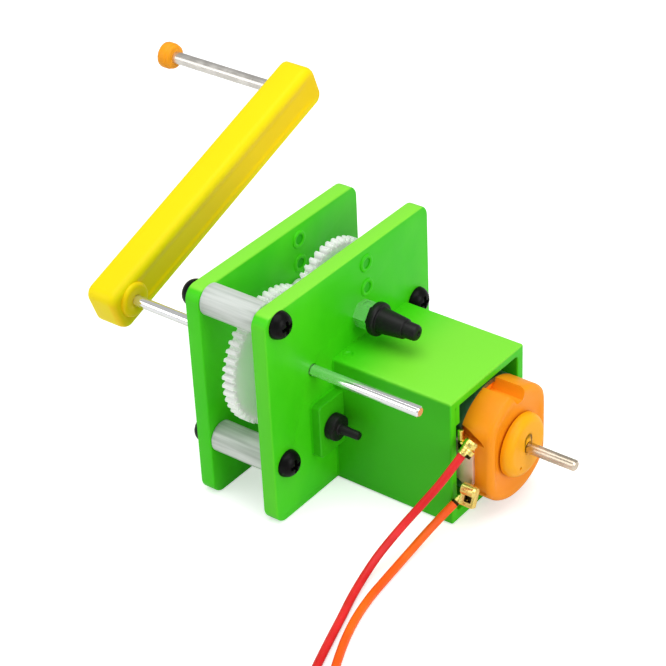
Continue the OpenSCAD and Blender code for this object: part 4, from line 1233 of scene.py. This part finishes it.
lug = box_object("lower_brass_lug", (0, 0, 0), (3.0, 1.5, 3.0), 0.3, brass, moved=LUG_TURN)
ROLL = [(0, 0), (0, 0.8), (0.25, 1.1), (2.6, 1.1), (2.9, 0.8), (2.9, 0)]
rolled_top = turned_object("roll", ROLL, brass, count=36, moved=Matrix.Translation((26.3, -10.9, 8.5)))
carved(lug, rolled_top, "UNION")
carved(lug, box_object("window", (1.1, -0.8, 0.85), (2.5, 1.1, 2.25), 0.08, brass, moved=LUG_TURN))
COLLAR = [(-0.1, 0), (-0.1, 0.7), (1.6, 0.7), (1.6, 0)]
collar = turned_object("collar", COLLAR, brass, count=36, moved=toward(orange_start, orange_back))
carved(lug, collar, "UNION")
finished(lug, "frame", "lower_terminal")

# %% [markdown]
# ## Rotor windings
#
# Inside the motor, copper wire is wound round each of the rotor's three poles. A flat set of nested
# loops is repeated along one pole with Geometry Nodes, which keeps every wire round, and the three
# windings follow by turns of a third about the shaft.
# %% Copper turns
POLES = 3


def winding_tree():
    tree, given, result = new_tree("Turns on a pole", {
        "Turns": "Int", "Pitch": "Vector", "Wire radius": "Float", "Shaft place": "Vector",
    })
    line, circle, wire, row, along = grown(
        tree, "GeometryNodeMeshToCurve", "GeometryNodeCurvePrimitiveCircle", "GeometryNodeCurveToMesh",
        "GeometryNodeMeshLine", "GeometryNodeInstanceOnPoints",
    )
    poles, index, third, spin, about, move = grown(
        tree, "GeometryNodePoints", "GeometryNodeInputIndex", "ShaderNodeMath", "ShaderNodeCombineXYZ",
        "GeometryNodeInstanceOnPoints", "GeometryNodeTransform",
    )
    circle.inputs["Resolution"].default_value = 6
    poles.inputs["Count"].default_value = POLES
    third.operation = "MULTIPLY"
    third.inputs[1].default_value = math.tau / POLES
    chain(
        tree, (given, "Geometry", line, "Mesh"), (line, "Curve", wire, "Curve"),
        (given, "Wire radius", circle, "Radius"), (circle, "Curve", wire, "Profile Curve"),
        (given, "Turns", row, "Count"), (given, "Pitch", row, "Offset"), (row, "Mesh", along, "Points"),
        (wire, "Mesh", along, "Instance"), (index, "Index", third, 0), (third, "Value", spin, "X"),
        (poles, "Points", about, "Points"), (spin, "Vector", about, "Rotation"),
        (along, "Instances", about, "Instance"), (about, "Instances", move, "Geometry"),
        (given, "Shaft place", move, "Translation"),
    )
    return closed(tree, given, result, move, "Geometry")


def pole_loops(layers=4, wire=0.32):
    """Nested loops of wire round one pole, at its foot."""
    places, edges = [], []
    for layer in range(layers):
        out = wire * (layer + 0.6)
        side = 1.2 + wire * (layer + 0.55)
        ring = box_ring(0, (6.5 - out, -side), (16.5 + out, side), 0.3 + wire * layer, 3)
        start = len(places)
        places += [Vector((point.y, 3.1, point.z)) * MM for point in ring]
        edges += [(start + k, start + (k + 1) % len(ring)) for k in range(len(ring))]
    mesh = bpy.data.meshes.new("loops")
    mesh.from_pydata(places, edges, [])
    return mesh


windings = with_tree("copper_windings", pole_loops(), winding_tree(), {
    "Turns": 6, "Pitch": Vector((0, 0.34, 0)) * MM, "Wire radius": 0.155 * MM,
    "Shaft place": Vector((0, *MOTOR_AT)) * MM, "Finish": copper,
})
finished(windings, "rotor", "rotor_windings")

# %% [markdown]
# ## Finishes for the engineer's own solids
#
# Shafts, bushes and the motor's inner pieces are right as they are modelled, so they stay and only
# take their surfaces.
# %% Finish the remaining solids
SOLIDS = {
    "crank_shaft": polished, "second_axle": polished, "third_axle": polished, "hex_bush": polished,
    "handle_rod": drawn, "motor_shaft": orange_reflection_steel, "motor_can": plated, "motor_bearings": bronze,
    "motor_magnets": ferrite, "motor_brushes": copper, "rotor_core": sheets, "commutator": copper,
    "red_pin": tin, "orange_pin": tin,
}
for name, surface in SOLIDS.items():
    solid = nodes[name]
    solid.data.materials.clear()
    solid.data.materials.append(surface)
print("Solids that keep their form:", len(SOLIDS))

# %% [markdown]
# ## Floor and light
#
# The photograph has a white ground and soft light from above and from both sides. The floor adds a
# little white for the camera alone, so that it reads as white and keeps the object's soft shadow.
# The lamps are large and far, and the world fills in, which keeps colours as they are written.
# %% White floor
def white_ground():
    surface = Surface("white_ground")
    seen = surface.node("ShaderNodeLightPath")
    shade = surface.node("ShaderNodeBsdfDiffuse", {}, {"Color": (0.82, 0.82, 0.82, 1)})["BSDF"]
    glow = surface.node("ShaderNodeEmission", {}, {"Strength": seen["Is Camera Ray"] * 0.5})
    both = surface.node("ShaderNodeAddShader", {}, {0: shade, 1: glow["Emission"]})["Shader"]
    surface.node("ShaderNodeOutputMaterial", {}, {"Surface": both})
    return surface.material


ground = bmesh.new()
bmesh.ops.create_grid(ground, x_segments=1, y_segments=1, size=1500)
bmesh.ops.translate(ground, vec=(0, 0, -0.05), verts=ground.verts)
floor = as_object("floor", ground, white_ground())
print("Floor:", floor.name)

# %% World and lamps
FILL, SEEN = 0.55, 1.0  # the world's strength for the object and for the camera
world = bpy.data.worlds.new("studio")
bpy.context.scene.world = world
world.use_nodes = True
world.node_tree.nodes.clear()
ray, direct, strength, sky, sky_out = grown(
    world.node_tree, "ShaderNodeLightPath", "ShaderNodeMath", "ShaderNodeMapRange", "ShaderNodeBackground",
    "ShaderNodeOutputWorld",
)
direct.operation, direct.use_clamp = "ADD", True
strength.inputs["To Min"].default_value, strength.inputs["To Max"].default_value = FILL, SEEN
chain(
    world.node_tree, (ray, "Is Camera Ray", direct, 0), (ray, "Is Transmission Ray", direct, 1),
    (direct, 0, strength, "Value"), (strength, 0, sky, "Strength"), (sky, 0, sky_out, "Surface"),
)


def softbox(name, place, size, watts, aim=(0, -0.005, 0.02)):
    data = bpy.data.lights.new(name, "AREA")
    data.shape, data.size, data.size_y, data.energy = "RECTANGLE", *size, watts
    lamp = added(name, data)
    lamp.location = place
    lamp.rotation_euler = (Vector(aim) - Vector(place)).to_track_quat("-Z", "Y").to_euler()
    return lamp


lamps = [
    softbox("top_light", (0.05, -0.05, 0.75), (0.7, 0.7), 3.6),
    softbox("left_light", (-0.45, -0.65, 0.35), (0.5, 0.5), 1.3),
    softbox("right_light", (0.75, -0.05, 0.35), (0.4, 0.5), 2.3),
]
bpy.context.scene.view_settings.view_transform = "Standard"
print("Lamps:", len(lamps))
